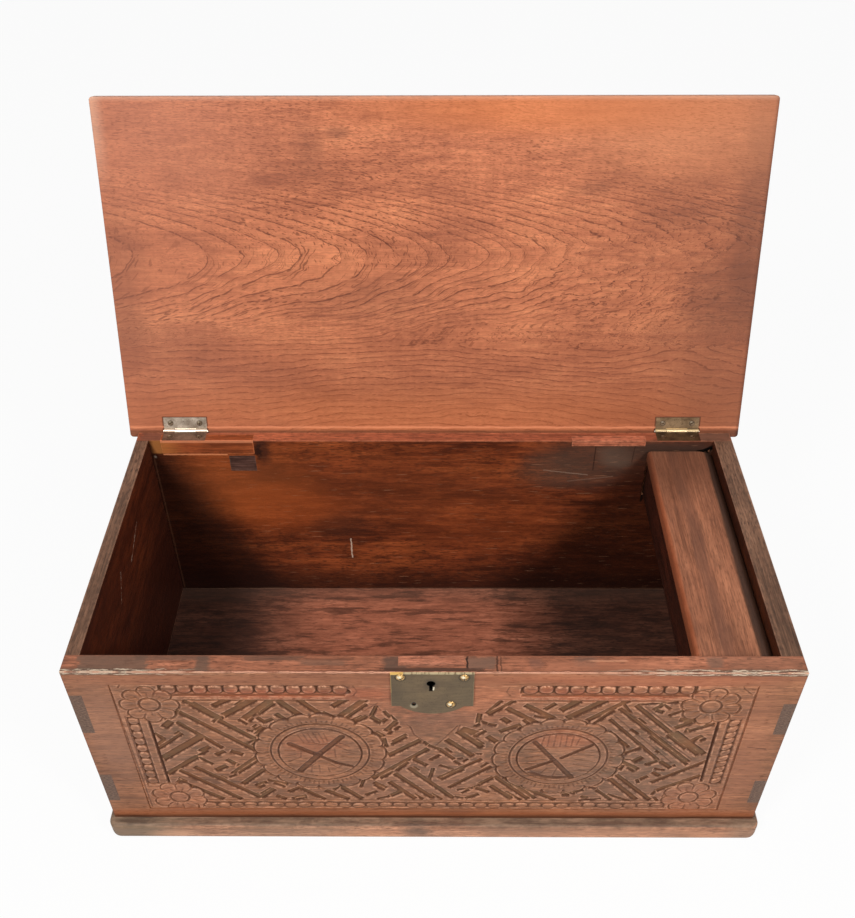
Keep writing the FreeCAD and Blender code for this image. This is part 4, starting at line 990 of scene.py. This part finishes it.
def roundel(cut, number):
    spec = roundelSpec
    centreX, centreZ = panelSpec["roundels"][number]
    offX, offZ = cut.x - centreX, cut.z - centreZ
    far = np.hypot(offX, offZ)
    turn = np.arctan2(offZ, offX)
    phase = turn * spec["lobes"] / (2 * math.pi) + 0.3 * number
    lobe = np.abs(phase - np.round(phase)) * 2  # 0 at a lobe's middle, 1 at a notch
    edge = spec["edge"] - spec["lobeDip"] * lobe ** 3
    inside = 1 - soften(edge - 0.4, edge + 0.6, far)
    cut.clear(inside)
    notch = soften(0.82, 1.0, lobe) * soften(46.0, 50.0, far)
    gouge = turn * spec["gouges"] / (2 * math.pi)
    reach = 45.2 + 1.8 * np.sin(np.round(gouge) * 2.3)
    gouged = (1 - soften(0.15, 0.55, np.abs(gouge - np.round(gouge)) * 2)) * soften(40.8, 41.8, far)
    gouged = gouged * (1 - soften(reach - 0.6, reach + 0.6, far))
    depth = 0.5 + 0.45 * soften(45, 41, far) + 0.95 * notch + 0.4 * gouged
    offHoop, half = far - spec["hoop"], spec["hoopHalf"]
    depth = depth - 0.3 * np.clip(1 - (offHoop / half) ** 2, 0, 1) * (np.abs(offHoop) < half)
    for ring in spec["rings"]:
        line = ridge(far - ring, 2.4) * (far < 52)
        depth = np.maximum(depth, 0.5 + 0.95 * line)
        cut.stain(line * 0.85)
    ground = np.zeros_like(far)
    outline = np.zeros_like(far)
    for *line, width in spec["arms"][number]:
        gap = lineGap(offX, offZ, line) - width / 2
        ground = np.maximum(ground, 1 - soften(-0.8, 0.3, gap))
        outline = np.maximum(outline, ridge(gap + 0.3, 1.9))
    middle = soften(spec["middle"] + 0.6, spec["middle"] - 0.6, far)
    hatch = scored(offX, offZ, spec["hatch"][number], 1.9)
    petal = 0.5 - 0.2 * np.clip(1 - far / 46, 0, 1) + 0.45 * hatch
    depth = np.where(far < spec["middle"], petal, depth)
    depth = depth + middle * ground * 0.95
    if number == 1:
        crescent = (1 - soften(0.8, 3.4, np.abs(far - spec["crescent"])))
        crescent = crescent * soften(-19, -23, offZ) * soften(17, 12, offX)
        depth = depth + 0.8 * middle * crescent
        cut.stain(middle * crescent * 0.8)
    cut.stain(notch * (far < 54) * 0.9)
    cut.stain(gouged * 0.5)
    cut.stain(np.maximum(hatch * 0.6, np.maximum(outline, ground * 0.5)) * middle)
    cut.blend(np.minimum(depth, 1.5), inside)
    around = ridge(far - edge - 0.6, 2.2) * (far > 48)
    cut.lower((0.5 + 1.0 * around) * (around > 0))
    cut.stain(around * 0.65)
    # painted highlight along the top of the roundel's ring
    cut.pale = np.maximum(cut.pale, 0.8 * ridge(far - 34.6, 1.6) * soften(4, 26, offZ))


rosetteSpec = {"reach": 21.8, "petals": 8, "petalDip": 4.6, "boss": 7.2, "dish": 6.4, "cup": 14.5}


def rosette(cut, number):
    spec = rosetteSpec
    centreX, centreZ = panelSpec["rosettes"][number]
    offX, offZ = cut.x - centreX, cut.z - centreZ
    far = np.hypot(offX, offZ)
    phase = np.arctan2(offZ, offX) * spec["petals"] / (2 * math.pi) + 0.21 * number
    part = np.abs(phase - np.round(phase)) * 2
    edge = spec["reach"] - spec["petalDip"] * part ** 2.6
    inside = 1 - soften(edge - 0.3, edge + 0.7, far)
    cut.clear(inside)
    between = soften(0.8, 1.0, part) * soften(9, 13, far)
    cup = 0.4 * soften(0.6, 0.0, part) * np.exp(-((far - spec["cup"]) / 4.2) ** 2)
    depth = 0.5 + 0.75 * between + cup
    boss = ridge(far - spec["boss"] - 0.8, 2.6)
    depth = np.maximum(depth, 0.5 + 0.9 * boss)
    depth = depth - 0.34 * np.clip(1 - (far / spec["dish"]) ** 2, 0, 1)
    vein = (1 - soften(0.05, 0.2, part)) * soften(8.5, 10, far) * soften(15, 13, far)
    cut.blend(np.minimum(depth + 0.3 * vein, 1.5), inside)
    cut.stain(inside * np.maximum(between * 0.45, np.maximum(boss * 0.6, vein * 0.4)))
    around = ridge(far - edge - 1.0, 2.4) * (far > 16.0)
    cut.lower((0.5 + 0.9 * around) * (around > 0))
    cut.stain(around * 0.45)


beadSpec = {
    "top": {"z": 204.3, "size": 11.4, "rows": ((-198.7, -69.7, 12), (73.0, 190.0, 11))},
    "left": {"x": -232.5, "size": (8.8, 9.4), "span": (78.7, 163.3), "count": 10, "slant": 0.0},
    "right": {"x": 233.0, "size": (8.8, 8.4), "span": (81.0, 162.0), "count": 11, "slant": 0.45},
    "foot": {"z": 41.4, "size": (11.2, 7.2), "span": (-190.0, 190.0), "count": 34},
}


def bead(cut, u, v, centre, size, squareness, floor, height, glint):  # a rounded stud that rises from a floor
    offU, offV = np.abs((u - centre[0]) / (size[0] / 2)), np.abs((v - centre[1]) / (size[1] / 2))
    far = (offU ** squareness + offV ** squareness) ** (1 / squareness)
    swell = np.clip(1 - far ** 2.4, 0, 1)
    cut.depth = np.where(far < 1, np.minimum(cut.depth, floor - height * swell ** 0.4), cut.depth)
    cut.ink = np.where(far < 0.9, cut.ink * 0.15, cut.ink)
    cut.stain(ridge(far - 1.0, 0.34) * 0.85)
    # painted highlight across the upper part of each bead
    top = (1 - soften(0.1, 0.3, np.abs(far - 0.66))) * soften(0.2, 0.7, (v - centre[1]) / (size[1] / 2))
    cut.pale = np.maximum(cut.pale, top * glint)
    cut.tone = np.where(far < 1, 0.5 + 0.3 * math.sin(centre[0] * 0.7 + centre[1] * 1.9), cut.tone)


def beadRows(cut):
    x, z = cut.x, cut.z
    top = beadSpec["top"]
    for start, end, count in top["rows"]:
        inRow = soften(0, 1.4, inset(x, z, start - 8.0, end + 8.0, 198.8, 209.6))
        cut.blend(2.0, inRow)
        cut.stain(inRow * 0.5)
        for number in range(count):
            centre = start + (end - start) * number / (count - 1)
            size = (top["size"] + 0.4 * math.cos(number * 1.7), top["size"] - 0.5)
            bead(cut, x, z, (centre, top["z"] + 0.4 * math.sin(number * 2.1)), size, 2.8, 2.0, 1.8, 1.0)
    for side in ("left", "right"):
        spec = beadSpec[side]
        low, high = spec["span"]
        inRow = soften(0, 1.2, inset(x, z, spec["x"] - 4.9, spec["x"] + 4.9, low - 5.4, high + 5.4))
        cut.blend(1.9, inRow)
        cut.stain(inRow * 0.7)
        tilted = z - (x - spec["x"]) * spec["slant"]
        for number in range(spec["count"]):
            centre = low + (high - low) * number / (spec["count"] - 1)
            bead(cut, x, tilted, (spec["x"], centre), spec["size"], 2.6, 1.9, 1.65, 0.6)
    foot = beadSpec["foot"]
    start, end = foot["span"]
    inRow = soften(0, 1.0, inset(x, z, start - 7, end + 7, 37.4, 45.6))
    cut.blend(1.3, inRow)
    cut.stain(inRow * 0.35)
    for number in range(foot["count"]):
        centre = start + (end - start) * number / (foot["count"] - 1)
        place, glint = (centre, foot["z"] - 0.6 * math.sin(number * 1.3)), 0.7 if number % 3 else 0.2
        bead(cut, x, z, place, foot["size"], 2.2, 1.3, 0.95, glint)


borderLines = {  # thin scored lines of the border, the pendant and the corners
    "wide": (
        (-196, 190.4, -64, 190.4), (64, 190.4, 192, 190.4), (-198, 210, -66, 210), (68, 210, 192, 210),
        (-195, 45.6, 196, 45.6),
    ),
    "deep": ((-220.4, 166, -219.4, 76), (220.4, 167, 221.0, 80)),
    "thin": (
        (-228, 168, -228, 74), (-237.5, 170, -237.5, 72), (228, 168, 228, 76), (237.8, 168, 237.8, 76),
        (-195, 49.6, 196, 49.6), (-236, 206, -232, 213), (230, 212, 232, 206), (232, 206, 239, 199),
        (-228, 74.4, -214, 73.6), (-18, 157, -15, 146), (-15, 146, -9, 139), (-9, 139, -1, 130),
        (-21, 159.5, -18, 157), (19, 158, 10, 143), (10, 143, 2, 131), (19.1, 150.9, 20.8, 159),
        (-60, 209, -57, 203), (-57, 203, -60, 197), (57, 208, 55, 202), (55, 202, 58, 197),
        (-194, 58.6, -191.5, 45.1), (189.7, 180.2, 189.9, 190.8), (195.4, 68.7, 192.2, 55.5), (-44, 186, -40, 178),
        (-52, 178, -42, 188), (148, 178, 208, 112), (161, 184, 214, 124), (139, 172, 192, 108),
        (-242, 200, -240, 38), (241.5, 200, 241.5, 38),
    ),
}


def pendantMask(x, z):  # the high plain ground under the lock, as the front board has it
    reach = np.abs(x)
    upper = (z > 155.0) & (reach < 12.2 + (z - 155.0) * 1.03 + 0.4)
    tip = (z > 139.6) & (z <= 155.0) & (reach < (z - 139.6) * 0.8 + 0.4)
    return upper | tip


barSpec = {  # left, right, low, high
    "bars": ((-196.9, -65.0, 191.8, 196.6), (66.0, 191.1, 191.8, 196.6), (-227.1, -220.7, 76.0, 162.0),
             (220.7, 227.1, 76.0, 162.0)),
    "hollows": ((-200, -66, 195.4, 199.4), (66, 193, 195.4, 199.4)),
}


def carve(x, z):
    cut = Carving(x, z)
    cut.blend(panelSpec["fretFloor"], fretCuts(x, z))
    beadRows(cut)
    bars = np.zeros_like(x)
    for bar in barSpec["bars"]:
        bars = np.maximum(bars, soften(0, 0.8, inset(x, z, *bar)))
    cut.blend(0.3, bars)
    # painted highlight along the top bars
    cut.pale = np.maximum(cut.pale, 0.5 * bars * (np.abs(x) < 200) * ridge(z - 193.4, 2.2))
    for area in barSpec["hollows"]:
        hollow = soften(0, 1.0, inset(x, z, *area))
        cut.lower(0.4 + 0.9 * hollow)
        cut.stain(hollow * 0.25)
    widths = {"wide": 2.4, "deep": 3.0, "thin": 1.9}
    wide, deep, thin = (scored(x, z, borderLines[kind], width) for kind, width in widths.items())
    cut.lower(panelSpec["plain"] + 1.15 * wide)
    cut.lower(panelSpec["plain"] + 1.7 * deep)
    cut.lower(np.minimum(panelSpec["plain"] + 0.6 * thin, 1.2))
    for mask in (soften(0.2, 0.9, wide) * 0.8, soften(0.05, 0.6, deep), soften(0.2, 0.9, thin) * 0.7):
        cut.stain(mask)
    for number in range(len(panelSpec["roundels"])):
        roundel(cut, number)
    for number in range(len(panelSpec["rosettes"])):
        rosette(cut, number)
    punchX, punchZ = panelSpec["punch"]
    punch = np.hypot(x - punchX, z - punchZ)
    dots = (np.cos(punch * 2.6) + 1) / 2 * (punch < 4.4)
    cut.lower(0.35 + 0.15 * dots)
    cut.stain(dots * 0.35 * (0.5 + 0.5 * np.sin(np.arctan2(z - punchZ, x - punchX) * 5)))
    pendant = pendantMask(x, z)
    cut.depth = np.where(pendant, np.minimum(cut.depth, 0.5), cut.depth)
    left, right = panelSpec["halves"][0][1], panelSpec["halves"][1][2]
    rim = inset(x, z, left, right, panelSpec["low"], panelSpec["high"])
    cut.blend(0.95, soften(1.3, 0.2, rim))
    wander = 0.05 * np.sin(x * 0.31 + z * 0.17) + 0.04 * np.sin(x * 0.13 - z * 0.42)
    wander = wander + 0.03 * np.sin(x * 0.9 + 2 * np.sin(z * 0.21))
    cut.depth = np.clip(cut.depth + wander * (cut.depth > 0.6), 0.12, 2.2)
    return cut


def blurred(grid, reach):  # each value's mean over a square around it
    total = np.zeros_like(grid)
    padded = np.pad(grid, reach, mode="edge")
    for down in range(2 * reach + 1):
        for side in range(2 * reach + 1):
            total += padded[down:down + grid.shape[0], side:side + grid.shape[1]]
    return total / (2 * reach + 1) ** 2


def meshObject(mesh, name, material):
    data = bpy.data.meshes.new(name)
    mesh.to_mesh(data)
    mesh.free()
    data.materials.append(material)
    made = bpy.data.objects.new(name, data)
    scene.collection.objects.link(made)
    return made


def buildPanel(name, start, end, material):
    spec = panelSpec
    wide, tall = end - start, spec["high"] - spec["low"]
    columns, rows = round(wide / spec["step"]), round(tall / spec["step"])
    mesh = bmesh.new()
    bmesh.ops.create_grid(mesh, x_segments=columns, y_segments=rows, size=0.5)
    mesh.verts.ensure_lookup_table()
    flat = np.array([v.co[:2] for v in mesh.verts])
    x, z = (flat[:, 0] + 0.5) * wide + start, (flat[:, 1] + 0.5) * tall + spec["low"]
    cut = carve(x, z)
    column = np.rint((flat[:, 0] + 0.5) * columns).astype(int)
    row = np.rint((flat[:, 1] + 0.5) * rows).astype(int)
    grid = np.zeros((rows + 1, columns + 1))
    grid[row, column] = cut.depth
    proud = (blurred(grid, 2) - grid)[row, column]  # above its surroundings: rubbed and pale
    sunk = (grid - blurred(grid, 7))[row, column]
    rise, lean = np.gradient(blurred(grid, 1), spec["step"])
    steep = np.maximum(np.hypot(rise, lean) * 0.85, rise)[row, column]  # painted shade on steep walls, most on those that face up
    values = {"cutDepth": cut.depth, "ink": cut.ink, "pale": cut.pale, "beadTone": cut.tone}
    values.update({"proud": proud, "sunk": sunk, "steep": steep})
    for number, vertex in enumerate(mesh.verts):
        vertex.co = Vector((x[number] * mm, (spec["face"] + cut.depth[number]) * mm, z[number] * mm))
    for key, amounts in values.items():
        layer = mesh.verts.layers.float.new(key)
        for vertex, amount in zip(mesh.verts, amounts.tolist()):
            vertex[layer] = amount
    left, right, low = spec["plate"]
    hidden = []
    for face in mesh.faces:
        middle = face.calc_center_median() / mm
        arch = max(0.0, 1 - (abs(middle.x + 0.6) / 26) ** 2)
        if left + 1 < middle.x < right - 1 and middle.z > low + 11 - 9.5 * arch:
            hidden.append(face)
    bmesh.ops.delete(mesh, geom=hidden, context="FACES")
    outline = [e for e in mesh.edges if e.is_boundary]
    wall = bmesh.ops.extrude_edge_only(mesh, edges=outline)
    for item in wall["geom"]:
        if isinstance(item, bmesh.types.BMVert):
            item.co.y = (spec["face"] + spec["back"]) * mm
    bmesh.ops.holes_fill(mesh, edges=[e for e in mesh.edges if e.is_boundary], sides=0)
    bmesh.ops.recalc_face_normals(mesh, faces=mesh.faces)
    piece = meshObject(mesh, name, material)
    piece.data.shade_smooth()
    piece.data.set_sharp_from_angle(angle=math.radians(spec["sharpFrom"]))
    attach(piece, "case")
    return piece


smokeZones = (  # darkened ground: centre, reach, strength
    ((176, 132), (34, 40), 0.75), ((150, 88), (40, 26), 0.55), ((-196, 142), (24, 30), 0.6),
    ((20, 128), (34, 26), 0.5), ((-30, 170), (24, 16), 0.45), ((60, 110), (26, 44), 0.4),
)


panelLook = {
    "greyed": (124, 94, 76), "smoke": (86, 66, 50), "ground": ((0.4, (126, 84, 56)), (0.6, (110, 84, 60))),
    "wall": (58, 27, 11), "sunk": (62, 32, 14), "ink": (60, 28, 12), "rubbed": (224, 168, 136),
    "dust": (196, 162, 138),
}


def panelFinish():
    finish = Finish("carvedPanelWood").readPlaces()
    wood = frontWood(finish)
    noise, step, x, z = finish.noise, finish.step, finish.x, finish.z
    cutDepth, ink, pale, tone, proud, sunk, steep = (
        finish.node("ShaderNodeAttribute", {"attribute_name": name}, {}, 2)
        for name in ("cutDepth", "ink", "pale", "beadTone", "proud", "sunk", "steep"))
    patchy = noise(x / 26, z / 20, 4.0, 4.0, 0.6)
    grime = step(noise(x / 3.4, z / 3.4, 6.0, 3.0, 0.6), 0.2, 0.5, 0.7, 1.0)
    inField = step(abs(x), 222, 216) * finish.band(z, 50, 190, 2.0)
    wood.tint(step(patchy, 0.46, 0.64) * 0.24 + inField * 0.08, panelLook["greyed"])
    wood.shade(step(noise(x / 9, z / 1.2, 14.0, 2.0, 0.6), 0.3, 0.7, 0.80, 1.24))
    wood.shade(step(noise(x / 9, z / 3.4, 17.0, 4.0, 0.65), 0.34, 0.66, 0.87, 1.17))
    smoke = step(noise(x / 16, z / 11, 12.0, 5.0, 0.65), 0.44, 0.6)
    for centre, reach, strength in smokeZones:
        wood.tint(finish.spot(x, z, centre, reach, 0.7) * smoke * strength, panelLook["smoke"])
    floor = step(cutDepth, 0.8, 1.9)
    wood.tint(floor * 0.74, finish.grade(patchy, *panelLook["ground"]))
    # painted shade on the cuts' steep walls
    wood.tint(step(steep, 0.28, 0.8) * grime * 0.86, panelLook["wall"])
    wood.tint(step(sunk, 0.1, 0.6) * 0.3, panelLook["sunk"])
    wood.tint(ink * grime * 0.86, panelLook["ink"])
    # worn tops are rubbed lighter; the glints from the pale layer are painted highlights
    worn = step(proud, 0.03, 0.24) * step(noise(x / 6, z / 6, 9.0, 3.0, 0.6), 0.40, 0.60) * 0.42
    glints = pale * step(noise(x / 4, z / 4, 3.0, 3.0, 0.6), 0.44, 0.58) * 0.75
    wood.tint((worn + glints) * (1 - ink), panelLook["rubbed"])
    wood.shade(step(tone, 0.2, 0.8, 0.92, 1.08))
    dust = noise(x / 2.2, z / 2.2, finish.y / 2.2, 3.0, 0.7)
    wood.tint(step(dust, 0.6, 0.74) * 0.16, panelLook["dust"])
    tool = noise(x / 1.4, z / 1.4, 2.0, 2.0, 0.5)
    wood.height = wood.height + tool * 0.3 + dust * 0.2
    wood.rough = wood.rough + floor * 0.2
    return wood.close(0.45)


panelMaterial = panelFinish()
for name, start, end in panelSpec["halves"]:
    half = buildPanel(name, start, end, panelMaterial)
    print(name, len(half.data.polygons), "faces")


# finishes on the CAD nodes


tillLook = {
    "lid": {**caseTones, "light": (170, 114, 86), "mid": (144, 93, 69), "dark": (102, 65, 49),
            "run": 130, "streak": 3.0, "pores": 0.4},
    # dark tones, as painted shade inside the till
    "inside": {**innerTones, "light": (84, 40, 26), "mid": (58, 27, 18), "dark": (34, 16, 11)},
    "lidEdge": (170, 112, 82), "insideEdge": (104, 58, 38), "purple": (98, 66, 54), "litNose": (168, 88, 52),
    "corner": (84, 52, 38), "shadow": (40, 28, 22), "deep": (22, 9, 6),
}


def tillFinishes():
    look = tillLook
    finish, wood = plainFinish("tillLidWood", "till_lid", "yxz", look["lid"], look["lidEdge"], 8.3, 1.0, 0.15)
    x, y = finish.x, finish.y
    drift = finish.noise(y / 80, x / 7, 3.0, 4.0, 0.6)
    purple = finish.band(x + (drift - 0.5) * 16 + y * 0.02, 217, 227, 3.5) + finish.step(drift, 0.56, 0.68) * 0.5
    wood.tint(purple * 0.5, look["purple"])
    # painted light on the lid's rounded left edge
    wood.tint(finish.step(x, 203, 200) * 0.5, look["litNose"])
    # painted shade on the rear of the till lid
    wood.tint(finish.spot(x, y, (222, 112), (44, 46), 0.6) * 0.6, look["corner"])
    shadow = finish.step(x - (y + 120) * 0.012 + (drift - 0.5) * 4, 245.5, 248.5)
    wood.tint(shadow * 0.88, look["shadow"])
    dress("till_lid", wood.close())
    for name, axes in (("till_side", "yzx"), ("till_bottom", "yxz")):
        finish, wood = plainFinish(name + "Wood", name, axes, look["inside"], look["insideEdge"], 3.3, 1.0, 0.3)
        # painted shade deeper inside the till, darker towards the bottom
        wood.tint(finish.step(finish.z, 205, 150) * 0.6, look["deep"])
        dress(name, wood.close())


smallWoods = {  # light, mid and dark tones, the edge's tone and how rubbed it is
    "repair_strip_left": ((186, 102, 60), (158, 80, 44), (112, 54, 30), (214, 128, 84), 0.45),
    "repair_strip_right": ((204, 124, 94), (182, 104, 76), (140, 76, 54), (222, 150, 116), 0.35),
    "back_patch": ((112, 80, 70), (84, 57, 50), (52, 33, 28), (128, 98, 86), 0.3),
    "rim_patch": ((196, 132, 106), (172, 110, 86), (124, 76, 58), (150, 104, 84), 0.2),
}
smallWoodLook = {
    "glow": (202, 132, 70), "crestHighlight": (232, 148, 108), "worn": (112, 76, 60), "greyed": (70, 50, 42),
    "fineGrain": {"streak": 2.2, "run": 30},
}


def smallWoodFinishes():
    look = smallWoodLook
    for name, (light, mid, dark, edgeTone, strength) in smallWoods.items():
        tones = {**caseTones, "light": light, "mid": mid, "dark": dark}
        if name == "back_patch":
            tones.update(look["fineGrain"])
        finish, wood = plainFinish(name + "Wood", name, "xzy", tones, edgeTone, 2.9, 0.9, strength)
        x, y, z = finish.x, finish.y, finish.z
        if name == "repair_strip_left":
            # painted light on the left part of the strip's face
            wood.tint(finish.step(x, -228, -254) * finish.step(z, 225.6, 224.8) * 0.4, look["glow"])
            # a painted highlight along the strip's top front edge
            wood.tint(finish.band(z, 223.6, 226.4, 0.5) * finish.band(y, 124.0, 126.2, 0.5) * 0.6, look["crestHighlight"])
        if name == "rim_patch":
            worn = finish.noise(x / 8, y / 2.5, 1.0, 4.0, 0.65)
            wood.tint(finish.step(worn, 0.5, 0.6) * 0.5, look["worn"])
            wood.tint(finish.step(y + (worn - 0.5) * 6, -129.6, -131.4) * 0.7, look["greyed"])
        dress(name, wood.close())


dress("front_board", frontBoardFinish())
for name, inner, toward in (("left_side", cornersOf("base_board")[0][0] + 16, 1), ("right_side", 258.5, -1)):
    dress(name, sideBoardFinish(name, inner, toward))
dress("back_board", backBoardFinish())
dress("base_board", baseFinish())
dress("lid_board", lidFinish())
tillFinishes()
smallWoodFinishes()
metalFinishes()
print("nodes dressed")


# stage, light and camera

white = (1, 1, 1, 1)
stageSpec = {
    "floorSize": 14.0, "floorTone": 0.72, "floorGlow": 0.95, "world": 0.10, "roomTone": (1.0, 0.985, 0.965, 1),
}
lampTone = (1.0, 0.97, 0.93)
lampSpec = (  # place and aim in metres, size, power
    ("leftLamp", (-0.75, -1.05, 1.60), (0.0, 0.05, 0.2), 0.40, 24.0),
    ("rightLamp", (1.00, -1.05, 1.40), (0.0, 0.05, 0.2), 0.40, 20.0),
    ("frontLamp", (0.0, -1.7, 0.8), (0.0, 0.0, 0.2), 1.1, 3.0),
)


def buildStage():
    mesh = bmesh.new()
    bmesh.ops.create_grid(mesh, x_segments=1, y_segments=1, size=stageSpec["floorSize"] / 2)
    finish = Finish("paleFloor").readPlaces()
    cloud = finish.noise(finish.x / 900, finish.y / 900, 0.0, 2.0)
    tone = finish.step(cloud, 0.3, 0.7, stageSpec["floorTone"] - 0.01, stageSpec["floorTone"])
    matt = finish.node("ShaderNodeBsdfDiffuse", {}, {0: finish.grey(tone)})
    glow = finish.node("ShaderNodeEmission", {}, {0: white, 1: 1.0})
    seen = finish.directRays() * stageSpec["floorGlow"]
    surface = finish.node("ShaderNodeMixShader", {}, {0: seen, 1: matt, 2: glow})
    finish.node("ShaderNodeOutputMaterial", {}, {0: surface})
    floor = meshObject(mesh, "floor", finish.owner)


def buildWorld():
    finish = Finish("softRoom", bpy.data.worlds)
    room = finish.node("ShaderNodeBackground", {}, {0: stageSpec["roomTone"], 1: stageSpec["world"]})
    backdrop = finish.node("ShaderNodeBackground", {}, {0: white, 1: 1.0})
    surface = finish.node("ShaderNodeMixShader", {}, {0: finish.directRays(), 1: room, 2: backdrop})
    finish.node("ShaderNodeOutputWorld", {}, {0: surface})
    scene.world = finish.owner


def buildLamps():
    for name, place, target, size, power in lampSpec:
        data = bpy.data.lights.new(name, "AREA")
        data.shape = "DISK"
        data.size = size
        data.energy = power
        data.color = lampTone
        lamp = bpy.data.objects.new(name, data)
        lamp.location = place
        lamp.rotation_euler = (Vector(target) - Vector(place)).to_track_quat("-Z", "Y").to_euler()
        scene.collection.objects.link(lamp)


cameraSpec = {  # as solved from the photo's edges
    "place": (0.00084, -0.6021, 0.8446), "turns": (("Z", 0.51), ("X", 48.616), ("Z", -0.304)),
    "lens": 40.55, "sensor": 36, "farthest": 50,
}


def buildCamera():
    data = bpy.data.cameras.new("photoCamera")
    data.lens = cameraSpec["lens"]
    data.sensor_width = cameraSpec["sensor"]
    data.clip_end = cameraSpec["farthest"]
    camera = bpy.data.objects.new("photoCamera", data)
    place = Matrix.Translation(cameraSpec["place"])
    for axis, degrees in cameraSpec["turns"]:
        place = place @ Matrix.Rotation(math.radians(degrees), 4, axis)
    camera.matrix_world = place
    scene.collection.objects.link(camera)
    scene.camera = camera


buildStage()
buildWorld()
buildLamps()
buildCamera()
print("stage, lamps and camera ready")
